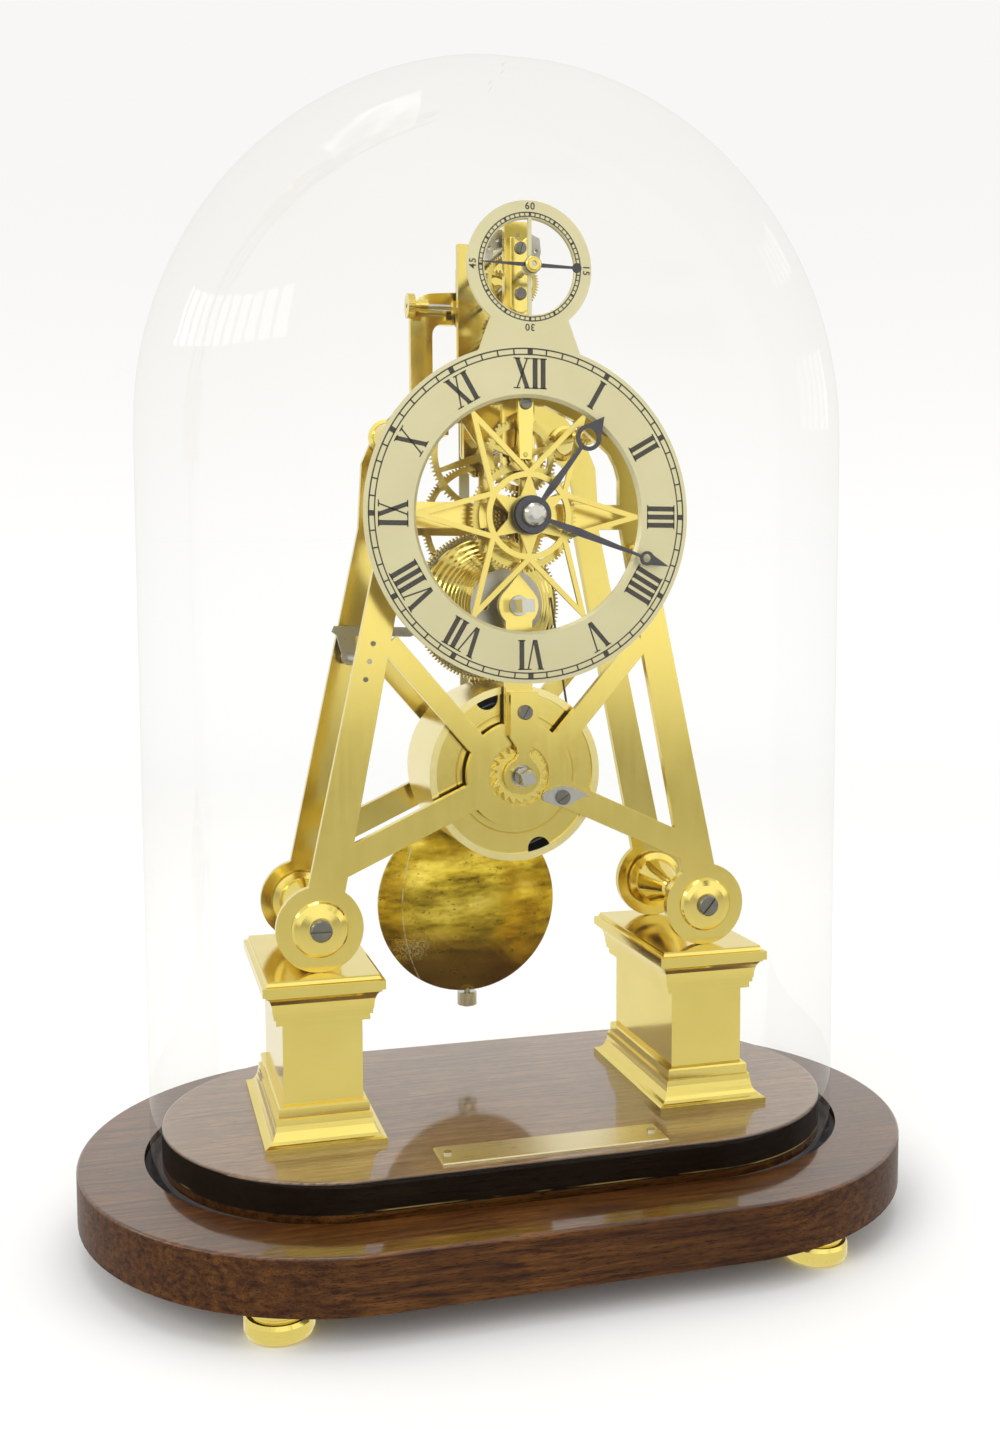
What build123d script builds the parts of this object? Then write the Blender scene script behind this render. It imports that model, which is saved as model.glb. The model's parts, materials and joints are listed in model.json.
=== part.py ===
from build123d import *
import os
from math import asin, atan2, cos, hypot, radians, sin

# Skeleton clock on a stadium base under a glass dome.  Millimetres, +Z up, the dial looks
# along -Y, the origin is the middle of the footprint at the underside of the feet.
# "f" is a distance forward of the frame's mid plane, so f = -y; sketches for everything that
# lies parallel to the dial are placed on Plane.XZ.offset(f).

# ---- base -------------------------------------------------------------------------------
foot_h = 11.4
foot_r = 11.4
foot_x, foot_y = 95.0, 76.8
foot_places = [(sx * foot_x, sy * foot_y) for sx in (-1, 1) for sy in (-1, 1)]
board_top = 30.8
board_a, board_r = 61.8, 97.0        # half length of the straight side, end radius
groove_floor = 26.8
groove_r = 73.2
velvet_t = 1.0
plinth_r = 66.8
plinth_top = 42.0
glass_r, glass_t = 71.0, 2.4
glass_top, glass_rise = 428.0, 135.0

# ---- pedestals --------------------------------------------------------------------------
pedestal_x = 73.3
pedestal_extra = 32.0                # how much deeper than wide every course is
ped_base_h, ped_die_top, ped_top = 14.6, 44.1, 60.8
cap_z = plinth_top + ped_top

# ---- frame ------------------------------------------------------------------------------
plate_f, plate_t = 27.8, 3.0
gap_f = plate_f - plate_t
disc_r = 15.55
disc_x, disc_z = 73.4, cap_z + disc_r
barrel_z, fusee_z, centre_z = 170.5, 231.9, 263.3
third_z, fourth_z, seconds_z = 290.4, 317.9, 348.0
pallet_z = 362.4
motion_z = centre_z + 21.5
bar_w, hub_r = 10.0, 19.6
top_pillars = [(-38.6, 296.6), (34.4, 296.6)]
detent_x, detent_z = -54.7, 212.5
pivot_r, pivot_play = 0.8, 0.05

# ---- dial -------------------------------------------------------------------------------
dial_f, dial_t = 41.0, 1.5
ring_r, ring_in = 58.75, 40.5
sec_r, sec_in = 22.3, 16.2
star_t = 1.2
dial_posts = [(-45.2, 253.0), (45.2, 253.0), (0.0, 311.0), (0.0, 212.5)]

# ---- wheels: teeth and modules ------------------------------------------------------------
m_great = 2 * (centre_z - fusee_z) / (120 + 10)
m_centre = 2 * (third_z - centre_z) / (108 + 12)
m_third = 2 * (fourth_z - third_z) / (90 + 18)
m_fourth = (seconds_z - fourth_z) / (24 + 26 + 18)
m_motion = 2 * (motion_z - centre_z) / (36 + 54)
idler_z = fourth_z + (24 + 13) * m_fourth
great_f, centre_f, third_f, fourth_f, escape_f = -19.2, -22.8, -15.1, 0.5, 19.6

# ---- pendulum ---------------------------------------------------------------------------
pend_f = -53.0
bob_z, bob_r = 107.3, 38.1


def write(piece, label):
    piece.part.label = label
    export_step(piece.part, f"parts/{label}.step")


def front(f):
    """A sketch plane parallel to the dial, f in front of the frame's middle."""
    return Plane.XZ.offset(f)


def turned(profile, x, z):
    """A solid turned about the front-to-back line through (x, z); profile is (f, radius)."""
    with BuildPart() as body:
        with BuildSketch(Plane(origin=(x, 0, z), x_dir=(0, -1, 0), z_dir=(1, 0, 0))):
            with BuildLine():
                Polyline(*profile, close=True)
            make_face()
        revolve(axis=Axis((x, 0, z), (0, -1, 0)))
    return body.part


def steps(*runs):
    """Outline of a stepped shaft from runs of (f_start, f_end, radius), f rising."""
    points = [(runs[0][0], 0)]
    for f0, f1, r in runs:
        points += [(f0, r), (f1, r)]
    return points + [(runs[-1][1], 0)]


def teeth_points(x, z, count, module, phase, leaf=False):
    """Corners of a toothed outline round (x, z) with one tooth centred on the angle phase."""
    pitch = 360.0 / count
    r_pitch = count * module / 2
    top, root = (0.75, 1.35) if leaf else (0.95, 1.2)
    wide, tip = (0.36, 0.18) if leaf else (0.42, 0.2)
    low = 0.4 if leaf else 0.52
    points = []
    for i in range(count):
        mid = phase + i * pitch
        for r, share in ((r_pitch - root * module, -low), (r_pitch, -wide),
                         (r_pitch + top * module, -tip), (r_pitch + top * module, tip),
                         (r_pitch, wide), (r_pitch - root * module, low)):
            a = radians(mid + share * pitch / 2)
            points.append((x + r * cos(a), z + r * sin(a)))
    return points


def arm(a, b, width, end_width=None):
    """Corners of a straight arm from a to b, tapering to end_width if that is given."""
    nx, nz = (a[1] - b[1]) / hypot(b[0] - a[0], b[1] - a[1]), (b[0] - a[0]) / hypot(b[0] - a[0], b[1] - a[1])
    w0, w1 = width / 2, (end_width or width) / 2
    return [(a[0] + nx * w0, a[1] + nz * w0), (b[0] + nx * w1, b[1] + nz * w1),
            (b[0] - nx * w1, b[1] - nz * w1), (a[0] - nx * w0, a[1] - nz * w0)]


def wheel(z, f, t, count, module, phase, bore, hub, rim, spokes, turn=0.0, x=0.0):
    """A crossed-out wheel: toothed rim, tapered spokes and a pierced hub."""
    root = count * module / 2 - 1.2 * module
    with BuildPart() as body:
        with BuildSketch(front(f)):
            with BuildLine():
                Polyline(*teeth_points(x, z, count, module, phase), close=True)
            make_face()
            with Locations((x, z)):
                if spokes:
                    Circle(root - rim, mode=Mode.SUBTRACT)
                    Circle(hub)
            for k in range(spokes):
                a = radians(turn + 360.0 * k / spokes)
                reach = root - rim * 0.8
                with BuildLine():
                    Polyline(*arm((x, z), (x + reach * cos(a), z + reach * sin(a)), 0.8 * hub, 0.38 * hub),
                             close=True)
                make_face()
            with Locations((x, z)):
                Circle(bore, mode=Mode.SUBTRACT)
        extrude(amount=t)
    return body.part


def pinion(z, f, t, count, module, phase, x=0.0):
    """The leaves of a pinion as a solid block of teeth."""
    with BuildPart() as body:
        with BuildSketch(front(f)):
            with BuildLine():
                Polyline(*teeth_points(x, z, count, module, phase, leaf=True), close=True)
            make_face()
        extrude(amount=t)
    return body.part


def screw(x, z, f, head_r, head_t, shank_r, length, turn=0.0):
    """A slotted cheese-head screw; f is the seat under its head, the head looks forward."""
    with BuildPart() as body:
        add(turned([(f - length, 0), (f - length, shank_r), (f, shank_r), (f, head_r),
                    (f + head_t * 0.7, head_r), (f + head_t, head_r * 0.86), (f + head_t, 0)], x, z))
        with BuildSketch(front(f + head_t)):
            with Locations((x, z)):
                Rectangle(2 * head_r + 1, head_r * 0.22, rotation=turn)
        extrude(amount=-head_t * 0.45, mode=Mode.SUBTRACT)
    return body.part


def stadium(a, r, z, height):
    """A prism with straight sides of half length a and half-round ends of radius r."""
    with BuildPart() as body:
        with BuildSketch(Plane.XY.offset(z)):
            SlotOverall(2 * (a + r), 2 * r)
        extrude(amount=height)
    return body.part


os.makedirs("parts", exist_ok=True)

# ==== base ===================================================================================

# Outer board with the groove that takes the dome's rim.
with BuildPart() as base_board:
    add(stadium(board_a, board_r, foot_h, board_top - foot_h))
    top_rim = base_board.faces().sort_by(Axis.Z)[-1].outer_wire().edges()
    fillet(top_rim, 1.2)
    with BuildSketch(Plane.XY.offset(board_top)):
        SlotOverall(2 * (board_a + groove_r), 2 * groove_r)
        SlotOverall(2 * (board_a + plinth_r), 2 * plinth_r, mode=Mode.SUBTRACT)
    extrude(amount=groove_floor - board_top, mode=Mode.SUBTRACT)
    with BuildSketch(Plane.XY.offset(foot_h)):
        with Locations(*foot_places):
            Circle(2.6)
    extrude(amount=9, mode=Mode.SUBTRACT)
    with Locations(Plane.XY.offset(foot_h)):
        with Locations((-pedestal_x, 0), (pedestal_x, 0)):
            Cylinder(2.6, 40, align=(Align.CENTER, Align.CENTER, Align.MIN), mode=Mode.SUBTRACT)
            Cylinder(7.5, 4.5, align=(Align.CENTER, Align.CENTER, Align.MIN), mode=Mode.SUBTRACT)
write(base_board, "base_board")

# Velvet lining on the floor of the groove.
with BuildPart() as groove_velvet:
    with BuildSketch(Plane.XY.offset(groove_floor)):
        SlotOverall(2 * (board_a + groove_r), 2 * groove_r)
        SlotOverall(2 * (board_a + plinth_r), 2 * plinth_r, mode=Mode.SUBTRACT)
    extrude(amount=velvet_t)
write(groove_velvet, "groove_velvet")

# Raised inner plinth.
with BuildPart() as base_plinth:
    add(stadium(board_a, plinth_r, board_top, plinth_top - board_top))
    fillet(base_plinth.faces().sort_by(Axis.Z)[-1].edges(), 0.9)
    with Locations((-pedestal_x, 0, board_top), (pedestal_x, 0, board_top)):
        Cylinder(2.6, 20, align=(Align.CENTER, Align.CENTER, Align.MIN), mode=Mode.SUBTRACT)
write(base_plinth, "base_plinth")

# Four turned bun feet, each with a stud up into the board.
with BuildPart() as one_foot:
    with BuildSketch(Plane.XZ):
        with BuildLine():
            Polyline((0, 0), (foot_r - 2.2, 0), (foot_r - 0.7, 0.8), (foot_r, 2.4), (foot_r, 5.8),
                     (foot_r - 0.6, 7.2), (foot_r - 1.6, 7.8), (foot_r - 1.6, 8.4),
                     (foot_r - 1.0, 8.9), (foot_r - 1.0, foot_h), (2.6, foot_h),
                     (2.6, foot_h + 8.5), (0, foot_h + 8.5), close=True)
        make_face()
    revolve(axis=Axis.Z)
with BuildPart() as bun_feet:
    with Locations(*foot_places):
        add(one_foot.part)
write(bun_feet, "bun_feet")

# Blank nameplate with bevelled edges.
plate_x, plate_y = 3.6, -55.0
with BuildPart() as nameplate:
    with BuildSketch(Plane.XY.offset(plinth_top)):
        with Locations((plate_x, plate_y)):
            Rectangle(82.5, 15.3)
            with Locations((-37.6, 0.9), (37.6, 0.9)):
                Circle(0.75, mode=Mode.SUBTRACT)
    extrude(amount=0.9)
    chamfer(nameplate.faces().sort_by(Axis.Z)[-1].outer_wire().edges(), 0.35)
write(nameplate, "nameplate")

# Blown oval dome: a straight skirt, then stadiums that shrink along a quarter ellipse in
# length and along a fuller curve in depth.
spring = glass_top - glass_rise
shoulder = 2.6                       # exponent of the curve in depth; 2 would be an ellipse
with BuildPart() as glass_dome:
    for r, rise, bottom, mode in ((glass_r, glass_rise, groove_floor + velvet_t, Mode.ADD),
                                  (glass_r - glass_t, glass_rise - glass_t, groove_floor, Mode.SUBTRACT)):
        with BuildSketch(Plane.XY.offset(bottom)):
            SlotOverall(2 * (board_a + r), 2 * r)
        extrude(amount=spring - bottom, mode=mode)
        for angle in (0, 9, 18, 27, 36, 45, 54, 63, 71, 78, 83.5, 87.5):
            half_length = (board_a + r) * cos(radians(angle))
            half_depth = r * (1 - sin(radians(angle)) ** shoulder) ** (1 / shoulder)
            with BuildSketch(Plane.XY.offset(spring + rise * sin(radians(angle)))):
                SlotOverall(2 * half_length, 2 * min(half_depth, 0.97 * half_length))
        loft(mode=mode)
write(glass_dome, "glass_dome")

# ==== pedestals ==============================================================================

# Half-width of each moulding against height; straight runs and hollow curves.
base_profile = [(21.5, 0), (21.5, 2.1), (20.7, 2.5)]
base_profile += [(16.9 + 3.8 * (1 - sin(radians(a))), 2.5 + 8.0 * (1 - cos(radians(a))))
                 for a in (15, 30, 45, 60, 75, 90)]
base_profile += [(16.1, 10.5), (16.1, 14.0), (15.6, ped_base_h)]
cap_profile = [(16.6, ped_die_top), (16.6, 46.4), (17.5, 46.5), (17.5, 48.2)]
cap_profile += [(20.4 - 2.6 * cos(radians(a)), 48.2 + 6.6 * sin(radians(a)))
                for a in (0, 18, 36, 54, 72, 90)]
cap_profile += [(20.4, 55.6), (21.5, 55.7), (21.5, 58.9), (20.2, 59.2), (19.65, 60.2), (19.65, ped_top)]
die_profile = [(14.15, ped_base_h), (14.15, ped_die_top)]


def course(profile, side_x):
    """One rectangular course whose mitred mouldings follow profile on all four sides."""
    right = [(side_x + w, h + plinth_top) for w, h in profile]
    left = [(side_x - w, h + plinth_top) for w, h in reversed(profile)]
    deep = [(w + pedestal_extra / 2, h + plinth_top) for w, h in profile]
    with BuildPart() as block:
        with BuildSketch(Plane.XZ.offset(-60)):
            with BuildLine():
                Polyline(*right, *left, close=True)
            make_face()
        extrude(amount=120)
        with BuildSketch(Plane.YZ.offset(side_x - 40)):
            with BuildLine():
                Polyline(*deep, *[(-w, h) for w, h in reversed(deep)], close=True)
            make_face()
        extrude(amount=80, mode=Mode.INTERSECT)
        with Locations((side_x, 0, plinth_top - 1)):
            Cylinder(2.6, 54, align=(Align.CENTER, Align.CENTER, Align.MIN), mode=Mode.SUBTRACT)
    return block.part


with BuildPart() as pedestal_plinths:
    add([course(base_profile, x) for x in (-pedestal_x, pedestal_x)])
write(pedestal_plinths, "pedestal_plinths")

with BuildPart() as pedestal_dies:
    add([course(die_profile, x) for x in (-pedestal_x, pedestal_x)])
write(pedestal_dies, "pedestal_dies")

with BuildPart() as pedestal_caps:
    add([course(cap_profile, x) for x in (-pedestal_x, pedestal_x)])
    with Locations(*[(x, y, cap_z) for x in (-disc_x, disc_x)
                     for y in (-plate_f + plate_t / 2, plate_f - plate_t / 2)]):
        Cylinder(1.0, 8, mode=Mode.SUBTRACT)
write(pedestal_caps, "pedestal_caps")

# Long bolts up into the pedestals, dowels under the plates' round feet, nameplate pins.
with BuildPart() as base_fasteners:
    with Locations((-pedestal_x, 0, foot_h), (pedestal_x, 0, foot_h)):
        with Locations((0, 0, 4.5)):
            Cylinder(2.5, 79, align=(Align.CENTER, Align.CENTER, Align.MIN))
        with Locations((0, 0, 0.9)):
            Cylinder(5.5, 3.6, align=(Align.CENTER, Align.CENTER, Align.MIN))
    with Locations(*[(x, y, cap_z - 3.5) for x in (-disc_x, disc_x)
                     for y in (-plate_f + plate_t / 2, plate_f - plate_t / 2)]):
        Cylinder(0.95, 7.2, align=(Align.CENTER, Align.CENTER, Align.MIN))
    with Locations((plate_x - 37.6, plate_y + 0.9, plinth_top), (plate_x + 37.6, plate_y + 0.9, plinth_top)):
        Cylinder(0.75, 0.9, align=(Align.CENTER, Align.CENTER, Align.MIN))
        with Locations((0, 0, 0.9)):
            Cylinder(1.5, 0.7, align=(Align.CENTER, Align.CENTER, Align.MIN))
write(base_fasteners, "base_fasteners")

# ==== frame ==================================================================================

def outer_x(z):
    """Half width of the frame at the outer edge of a leg."""
    return 76.6 - 0.218 * (z - 136.3)


def inner_x(z):
    """Half width of the frame at the inner edge of a leg."""
    return 61.0 - 0.196 * (z - 148.0)


def mirrored(points):
    """Both halves of an outline given as its right side from the bottom to the top."""
    return points + [(-x, z) for x, z in reversed(points)]


def plate_outline(f, tower_w, tower_top, tongue_w, tongue_z, back):
    """One A-shaped frame plate, solid between f and f + plate_t."""
    with BuildPart() as plate:
        with BuildSketch(front(f)):
            for s in (-1, 1):
                leg = [(s * outer_x(z), z) for z in (disc_z - 4, 290.0)]
                leg += [(s * inner_x(z), z) for z in (262.0, disc_z - 4)]
                with BuildLine():
                    Polyline(*leg, close=True)
                make_face()
                for ends, width in ((((s * 47.6, 219.0), (s * 11.0, 176.6)), 7.4),
                                    (((s * 68.0, 139.5), (s * 13.0, 165.0)), 9.6)):
                    with BuildLine():
                        Polyline(*arm(*ends, width), close=True)
                    make_face()
            # Shoulders that close the legs into an arch, and the tower above them.
            with BuildLine():
                Polyline(*mirrored([(49.2, 262.0), (47.6, 287.0), (43.0, 297.5), (34.0, 307.5),
                                    (20.0, 316.0), (tower_w, 320.0), (tower_w, tower_top)]), close=True)
            make_face()
            with BuildLine():
                Polyline(*mirrored([(39.2, 259.0), (38.3, 268.6), (38.3, 277.8), (37.0, 282.4),
                                    (34.5, 287.0), (27.1, 293.1), (21.0, 298.5), (10.1, 303.4)]),
                         close=True)
            make_face(mode=Mode.SUBTRACT)
            with Locations((-disc_x, disc_z), (disc_x, disc_z)):
                Circle(disc_r)
            with Locations((0, 264.0)):
                Rectangle(80.0, 9.0)
            with Locations((0, barrel_z)):
                Circle(hub_r)
            # Tongue hanging from the arch for the upper pivots.
            with Locations((0, (tongue_z + 306) / 2)):
                Rectangle(2 * tongue_w, 306 - tongue_z)
            with Locations((0, tongue_z)):
                Circle(tongue_w)
            if back:
                with Locations((0, (barrel_z + centre_z) / 2)):
                    Rectangle(bar_w, centre_z - barrel_z)
                with Locations((0, fusee_z), (0, centre_z)):
                    Circle(7.4)
            else:
                with Locations((0, (barrel_z + fusee_z) / 2)):
                    Rectangle(bar_w, fusee_z - barrel_z)
                with Locations((0, fusee_z)):
                    Circle(7.4)
                with BuildLine():
                    Polyline((-6.2, fusee_z + 4), (-1.6, fusee_z + 9.5), (0, fusee_z + 11.6),
                             (1.6, fusee_z + 9.5), (6.2, fusee_z + 4), close=True)
                make_face()
                with Locations((0, centre_z)):
                    Circle(6.4)
        extrude(amount=plate_t)
    return plate.part


pillar_seats = [(-disc_x, disc_z), (disc_x, disc_z), *top_pillars]
hole = pivot_r + pivot_play

with BuildPart() as front_plate:
    add(plate_outline(gap_f, 5.0, 367.0, 6.0, motion_z - 2.0, back=False))
    with BuildSketch(front(gap_f)):
        with Locations(*pillar_seats):
            Circle(2.1)
        with Locations((0, third_z), (0, fourth_z), (0, idler_z), (0, pallet_z), (0, motion_z),
                       (detent_x, detent_z)):
            Circle(hole)
        with Locations((0, barrel_z)):
            Circle(4.05)
        with Locations((0, fusee_z)):
            Circle(3.65)
        with Locations((0, centre_z)):
            Circle(1.55)
        with Locations((0, seconds_z)):
            Circle(1.4)
        with Locations(*dial_posts):
            Circle(1.3)
        with Locations((detent_x + 1.4, detent_z + 6.3), (detent_x - 1.4, detent_z - 6.3)):
            Circle(0.85)
    extrude(amount=plate_t, mode=Mode.SUBTRACT)
    # Shallow recess the winding ratchet turns in.
    with BuildSketch(front(plate_f)):
        with Locations((0, barrel_z)):
            Circle(11.3)
    extrude(amount=-1.5, mode=Mode.SUBTRACT)
    with BuildSketch(front(plate_f)):
        with Locations((1.0, 193.6), (16.1, 161.9), (0, seconds_z - 6.6), (0, seconds_z + 9.2),
                       (0, 302.6)):
            Circle(1.25)
    extrude(amount=-2.4, mode=Mode.SUBTRACT)
    with Locations((-disc_x, -plate_f + plate_t / 2, cap_z), (disc_x, -plate_f + plate_t / 2, cap_z)):
        Cylinder(1.0, 8, mode=Mode.SUBTRACT)
write(front_plate, "front_plate")

with BuildPart() as back_plate:
    add(plate_outline(-plate_f, 9.0, 372.0, 7.0, third_z - 1.0, back=True))
    with BuildSketch(front(-plate_f)):
        with Locations(*pillar_seats):
            Circle(2.1)
        with Locations((0, third_z), (0, fourth_z), (0, idler_z), (0, seconds_z), (detent_x, detent_z)):
            Circle(hole)
        with Locations((0, barrel_z)):
            Circle(3.05)
        with Locations((0, fusee_z)):
            Circle(2.05)
        with Locations((0, centre_z)):
            Circle(1.25)
        with Locations((0, pallet_z)):
            Circle(1.55)
        with Locations((-17.0, 303.6), (-17.0, 311.4)):
            Circle(1.3)
    extrude(amount=plate_t, mode=Mode.SUBTRACT)
    with Locations((-disc_x, plate_f - plate_t / 2, cap_z), (disc_x, plate_f - plate_t / 2, cap_z)):
        Cylinder(1.0, 8, mode=Mode.SUBTRACT)
write(back_plate, "back_plate")

# Turned pillars: a flange and a long cone at each end, meeting at a slim waist.
with BuildPart() as frame_pillars:
    for x, z in pillar_seats:
        big, waist = (11.2, 4.0) if z < 200 else (6.7, 2.8)
        half = [(2.2, waist), (3.0, waist + 1.0), (3.8, waist), (gap_f - 5.0, big * 0.8),
                (gap_f - 3.4, big * 0.8), (gap_f - 3.0, big), (gap_f - 1.4, big),
                (gap_f - 1.0, big * 0.86), (gap_f, big * 0.86), (gap_f, 1.55), (gap_f - 8, 1.55),
                (gap_f - 8, 0)]
        add(turned([(-f, r) for f, r in reversed(half)] + half, x, z))
write(frame_pillars, "frame_pillars")

with BuildPart() as pillar_washers:
    for x, z in pillar_seats[:2]:
        for way in (1, -1):
            profile = [(plate_f, 2.1), (plate_f, 10.1), (plate_f + 0.7, 10.1), (plate_f + 1.5, 9.4),
                       (plate_f + 2.1, 7.4), (plate_f + 2.5, 4.6), (plate_f + 2.5, 2.1)]
            add(turned([(way * f, r) for f, r in profile], x, z))
write(pillar_washers, "pillar_washers")

# ==== barrel =================================================================================

drum_front, drum_back, drum_r = 22.8, -16.8, 32.4
lid_r = drum_r - 2.6
with BuildPart() as barrel_drum:
    add(turned([(drum_back, 4.1), (drum_back, drum_r), (drum_front, drum_r), (drum_front, lid_r),
                (drum_front - 3.6, lid_r), (drum_front - 4.6, drum_r - 1.6), (drum_back + 1.6, drum_r - 1.6),
                (drum_back + 1.6, 7.0), (drum_back + 3.2, 7.0), (drum_back + 3.2, 4.1)], 0, barrel_z))
write(barrel_drum, "barrel_drum")

# The lid, sunk inside the drum's rim, has a fine turned line and two half-round notches at its edge.

with BuildPart() as barrel_lid:
    add(turned([(drum_front - 3.2, 4.1), (drum_front - 3.2, 7.0), (drum_front - 2.4, 7.0),
                (drum_front - 2.4, lid_r), (drum_front - 0.9, lid_r), (drum_front - 0.9, 22.6),
                (drum_front - 1.2, 22.4), (drum_front - 1.2, 22.2), (drum_front - 0.9, 22.0),
                (drum_front - 0.9, 4.1)], 0, barrel_z))
    with BuildSketch(front(drum_front - 2.4)):
        for angle in (111, -72):
            with Locations((lid_r * cos(radians(angle)), barrel_z + lid_r * sin(radians(angle)))):
                Circle(4.3)
    extrude(amount=1.5, mode=Mode.SUBTRACT)
write(barrel_lid, "barrel_lid")

# Coiled mainspring as a flat spiral band.
with BuildPart() as mainspring:
    inner_r, pitch_r, coils, band_t, chords = 9.6, 1.5, 12, 0.6, 24
    spiral = [(inner_r + pitch_r * t / chords, radians(t * 360.0 / chords))
              for t in range(chords * coils + 1)]
    edge_in = [(r * cos(a), barrel_z + r * sin(a)) for r, a in spiral]
    edge_out = [((r + band_t) * cos(a), barrel_z + (r + band_t) * sin(a)) for r, a in spiral]
    with BuildSketch(front(drum_back + 4.0)):
        with BuildLine():
            Polyline(*edge_in, *reversed(edge_out), close=True)
        make_face()
    extrude(amount=drum_front - drum_back - 8.0)
write(mainspring, "mainspring")

with BuildPart() as barrel_arbor:
    add(turned(steps((-plate_f - 1.5, -gap_f + 0.6, 3.0), (-gap_f + 0.6, -13.2, 4.05), (-13.2, 19.2, 9.4),
                     (19.2, gap_f + 4.2, 4.0), (gap_f + 4.2, 39.5, 3.15)), 0, barrel_z))
    with BuildSketch(front(32.6)):
        with Locations((0, barrel_z)):
            Circle(5.0)
            Rectangle(4.7, 4.7, rotation=14, mode=Mode.SUBTRACT)
    extrude(amount=8, mode=Mode.SUBTRACT)
write(barrel_arbor, "barrel_arbor")

# Winding ratchet with raked teeth, sunk in the hub of the front plate.
with BuildPart() as barrel_ratchet:
    rake = []
    for i in range(20):
        a = radians(i * 18.0 + 4)
        rake += [(10.8 * cos(a), barrel_z + 10.8 * sin(a)),
                 (8.6 * cos(a + 0.05), barrel_z + 8.6 * sin(a + 0.05))]
    with BuildSketch(front(26.4)):
        with BuildLine():
            Polyline(*rake, close=True)
        make_face()
        with Locations((0, barrel_z)):
            Circle(4.0, mode=Mode.SUBTRACT)
    extrude(amount=2.5)
write(barrel_ratchet, "barrel_ratchet")

# Cock over the ratchet: foot block above, neck, and a ring round the arbor.
with BuildPart() as barrel_cock:
    with BuildSketch(front(29.3)):
        with BuildLine():
            Polyline((-4.4, 200.8), (6.0, 200.8), (6.0, 184.6), (4.4, 182.4), (2.6, 178.5),
                     (4.6, 175.0), (-3.6, 175.0), (-1.4, 178.5), (-2.6, 182.0), (-4.4, 184.6), close=True)
        make_face()
        with Locations((0, barrel_z)):
            Circle(6.6)
            Circle(4.05, mode=Mode.SUBTRACT)
    extrude(amount=2.6)
    with BuildSketch(front(plate_f)):
        with Locations((0.8, 192.9)):
            Rectangle(10.4, 15.8)
    extrude(amount=1.5)
    with BuildSketch(front(plate_f)):
        with Locations((1.0, 193.6)):
            Circle(1.3)
    extrude(amount=5, mode=Mode.SUBTRACT)
write(barrel_cock, "barrel_cock")

# Steel click shaped like a flattened S, pivoting on its screw.
with BuildPart() as click:
    with BuildSketch(front(plate_f)):
        with BuildLine():
            Spline((8.2, 163.2), (11.2, 164.6), (16.0, 165.9), (21.0, 164.8), (26.6, 161.6))
            Spline((26.6, 161.6), (22.5, 160.9), (17.5, 158.6), (12.8, 159.2), (8.9, 160.9))
            Line((8.9, 160.9), (8.2, 163.2))
        make_face()
        with Locations((16.1, 161.9)):
            Circle(1.2, mode=Mode.SUBTRACT)
    extrude(amount=1.4)
write(click, "click")


# ==== fusee ==================================================================================

with BuildPart() as fusee_arbor:
    add(turned(steps((-plate_f - 0.9, -gap_f + 0.3, 2.0), (-gap_f + 0.3, gap_f - 0.3, 3.0),
                     (gap_f - 0.3, 40.0, 3.6)), 0, fusee_z))
    with BuildSketch(front(plate_f + 0.8)):
        with Locations((0, fusee_z)):
            Circle(6.0)
            Rectangle(4.7, 4.7, rotation=3, mode=Mode.SUBTRACT)
    extrude(amount=14, mode=Mode.SUBTRACT)
write(fusee_arbor, "fusee_arbor")

# Grooved cone, its radius falling as a hyperbola towards the front.
cone_back, cone_front, grooves = -14.6, 13.0, 14
with BuildPart() as fusee_cone:
    flank = [(cone_back, 3.0), (cone_back, 27.0), (cone_back + 1.0, 27.0)]
    run = (cone_front - cone_back - 2.0) / grooves
    for i in range(grooves):
        f0 = cone_back + 1.0 + i * run
        for share, depth in ((0.0, 0.0), (0.18, 0.0), (0.4, 0.7), (0.72, 0.7), (0.94, 0.0)):
            r = 26.4 / (1 + 1.35 * (i + share) / grooves)
            flank.append((f0 + share * run, r - depth))
    flank += [(cone_front - 1.0, 11.6), (cone_front, 11.6), (cone_front, 3.0)]
    add(turned(flank, 0, fusee_z))
write(fusee_cone, "fusee_cone")

# Steel stop plate on the small end, snail shaped, with two fixing holes.
with BuildPart() as fusee_cap:
    widening = [(12.2 + 3.6 * a / 360, radians(a - 60)) for a in range(0, 346, 15)]
    snail = [(r * cos(a), fusee_z + r * sin(a)) for r, a in widening]
    with BuildSketch(front(cone_front + 0.1)):
        with BuildLine():
            Spline(*snail)
            Line(snail[-1], snail[0])
        make_face()
        with Locations((0, fusee_z)):
            Circle(3.0, mode=Mode.SUBTRACT)
        with Locations((-8.9, fusee_z), (8.9, fusee_z)):
            Circle(1.5, mode=Mode.SUBTRACT)
    extrude(amount=1.2)
write(fusee_cap, "fusee_cap")

with BuildPart() as great_wheel:
    add(wheel(fusee_z, great_f, 2.0, 120, m_great, 90, 3.0, 8.0, 3.0, 0))
write(great_wheel, "great_wheel")

with BuildPart() as maintaining_ratchet:
    rake = []
    for i in range(120):
        a = radians(i * 3.0)
        rake += [(28.3 * cos(a), fusee_z + 28.3 * sin(a)),
                 (27.2 * cos(a + 0.012), fusee_z + 27.2 * sin(a + 0.012))]
    with BuildSketch(front(great_f + 2.3)):
        with BuildLine():
            Polyline(*rake, close=True)
        make_face()
        with Locations((0, fusee_z)):
            Circle(3.0, mode=Mode.SUBTRACT)
    extrude(amount=1.6)
write(maintaining_ratchet, "maintaining_ratchet")

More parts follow.
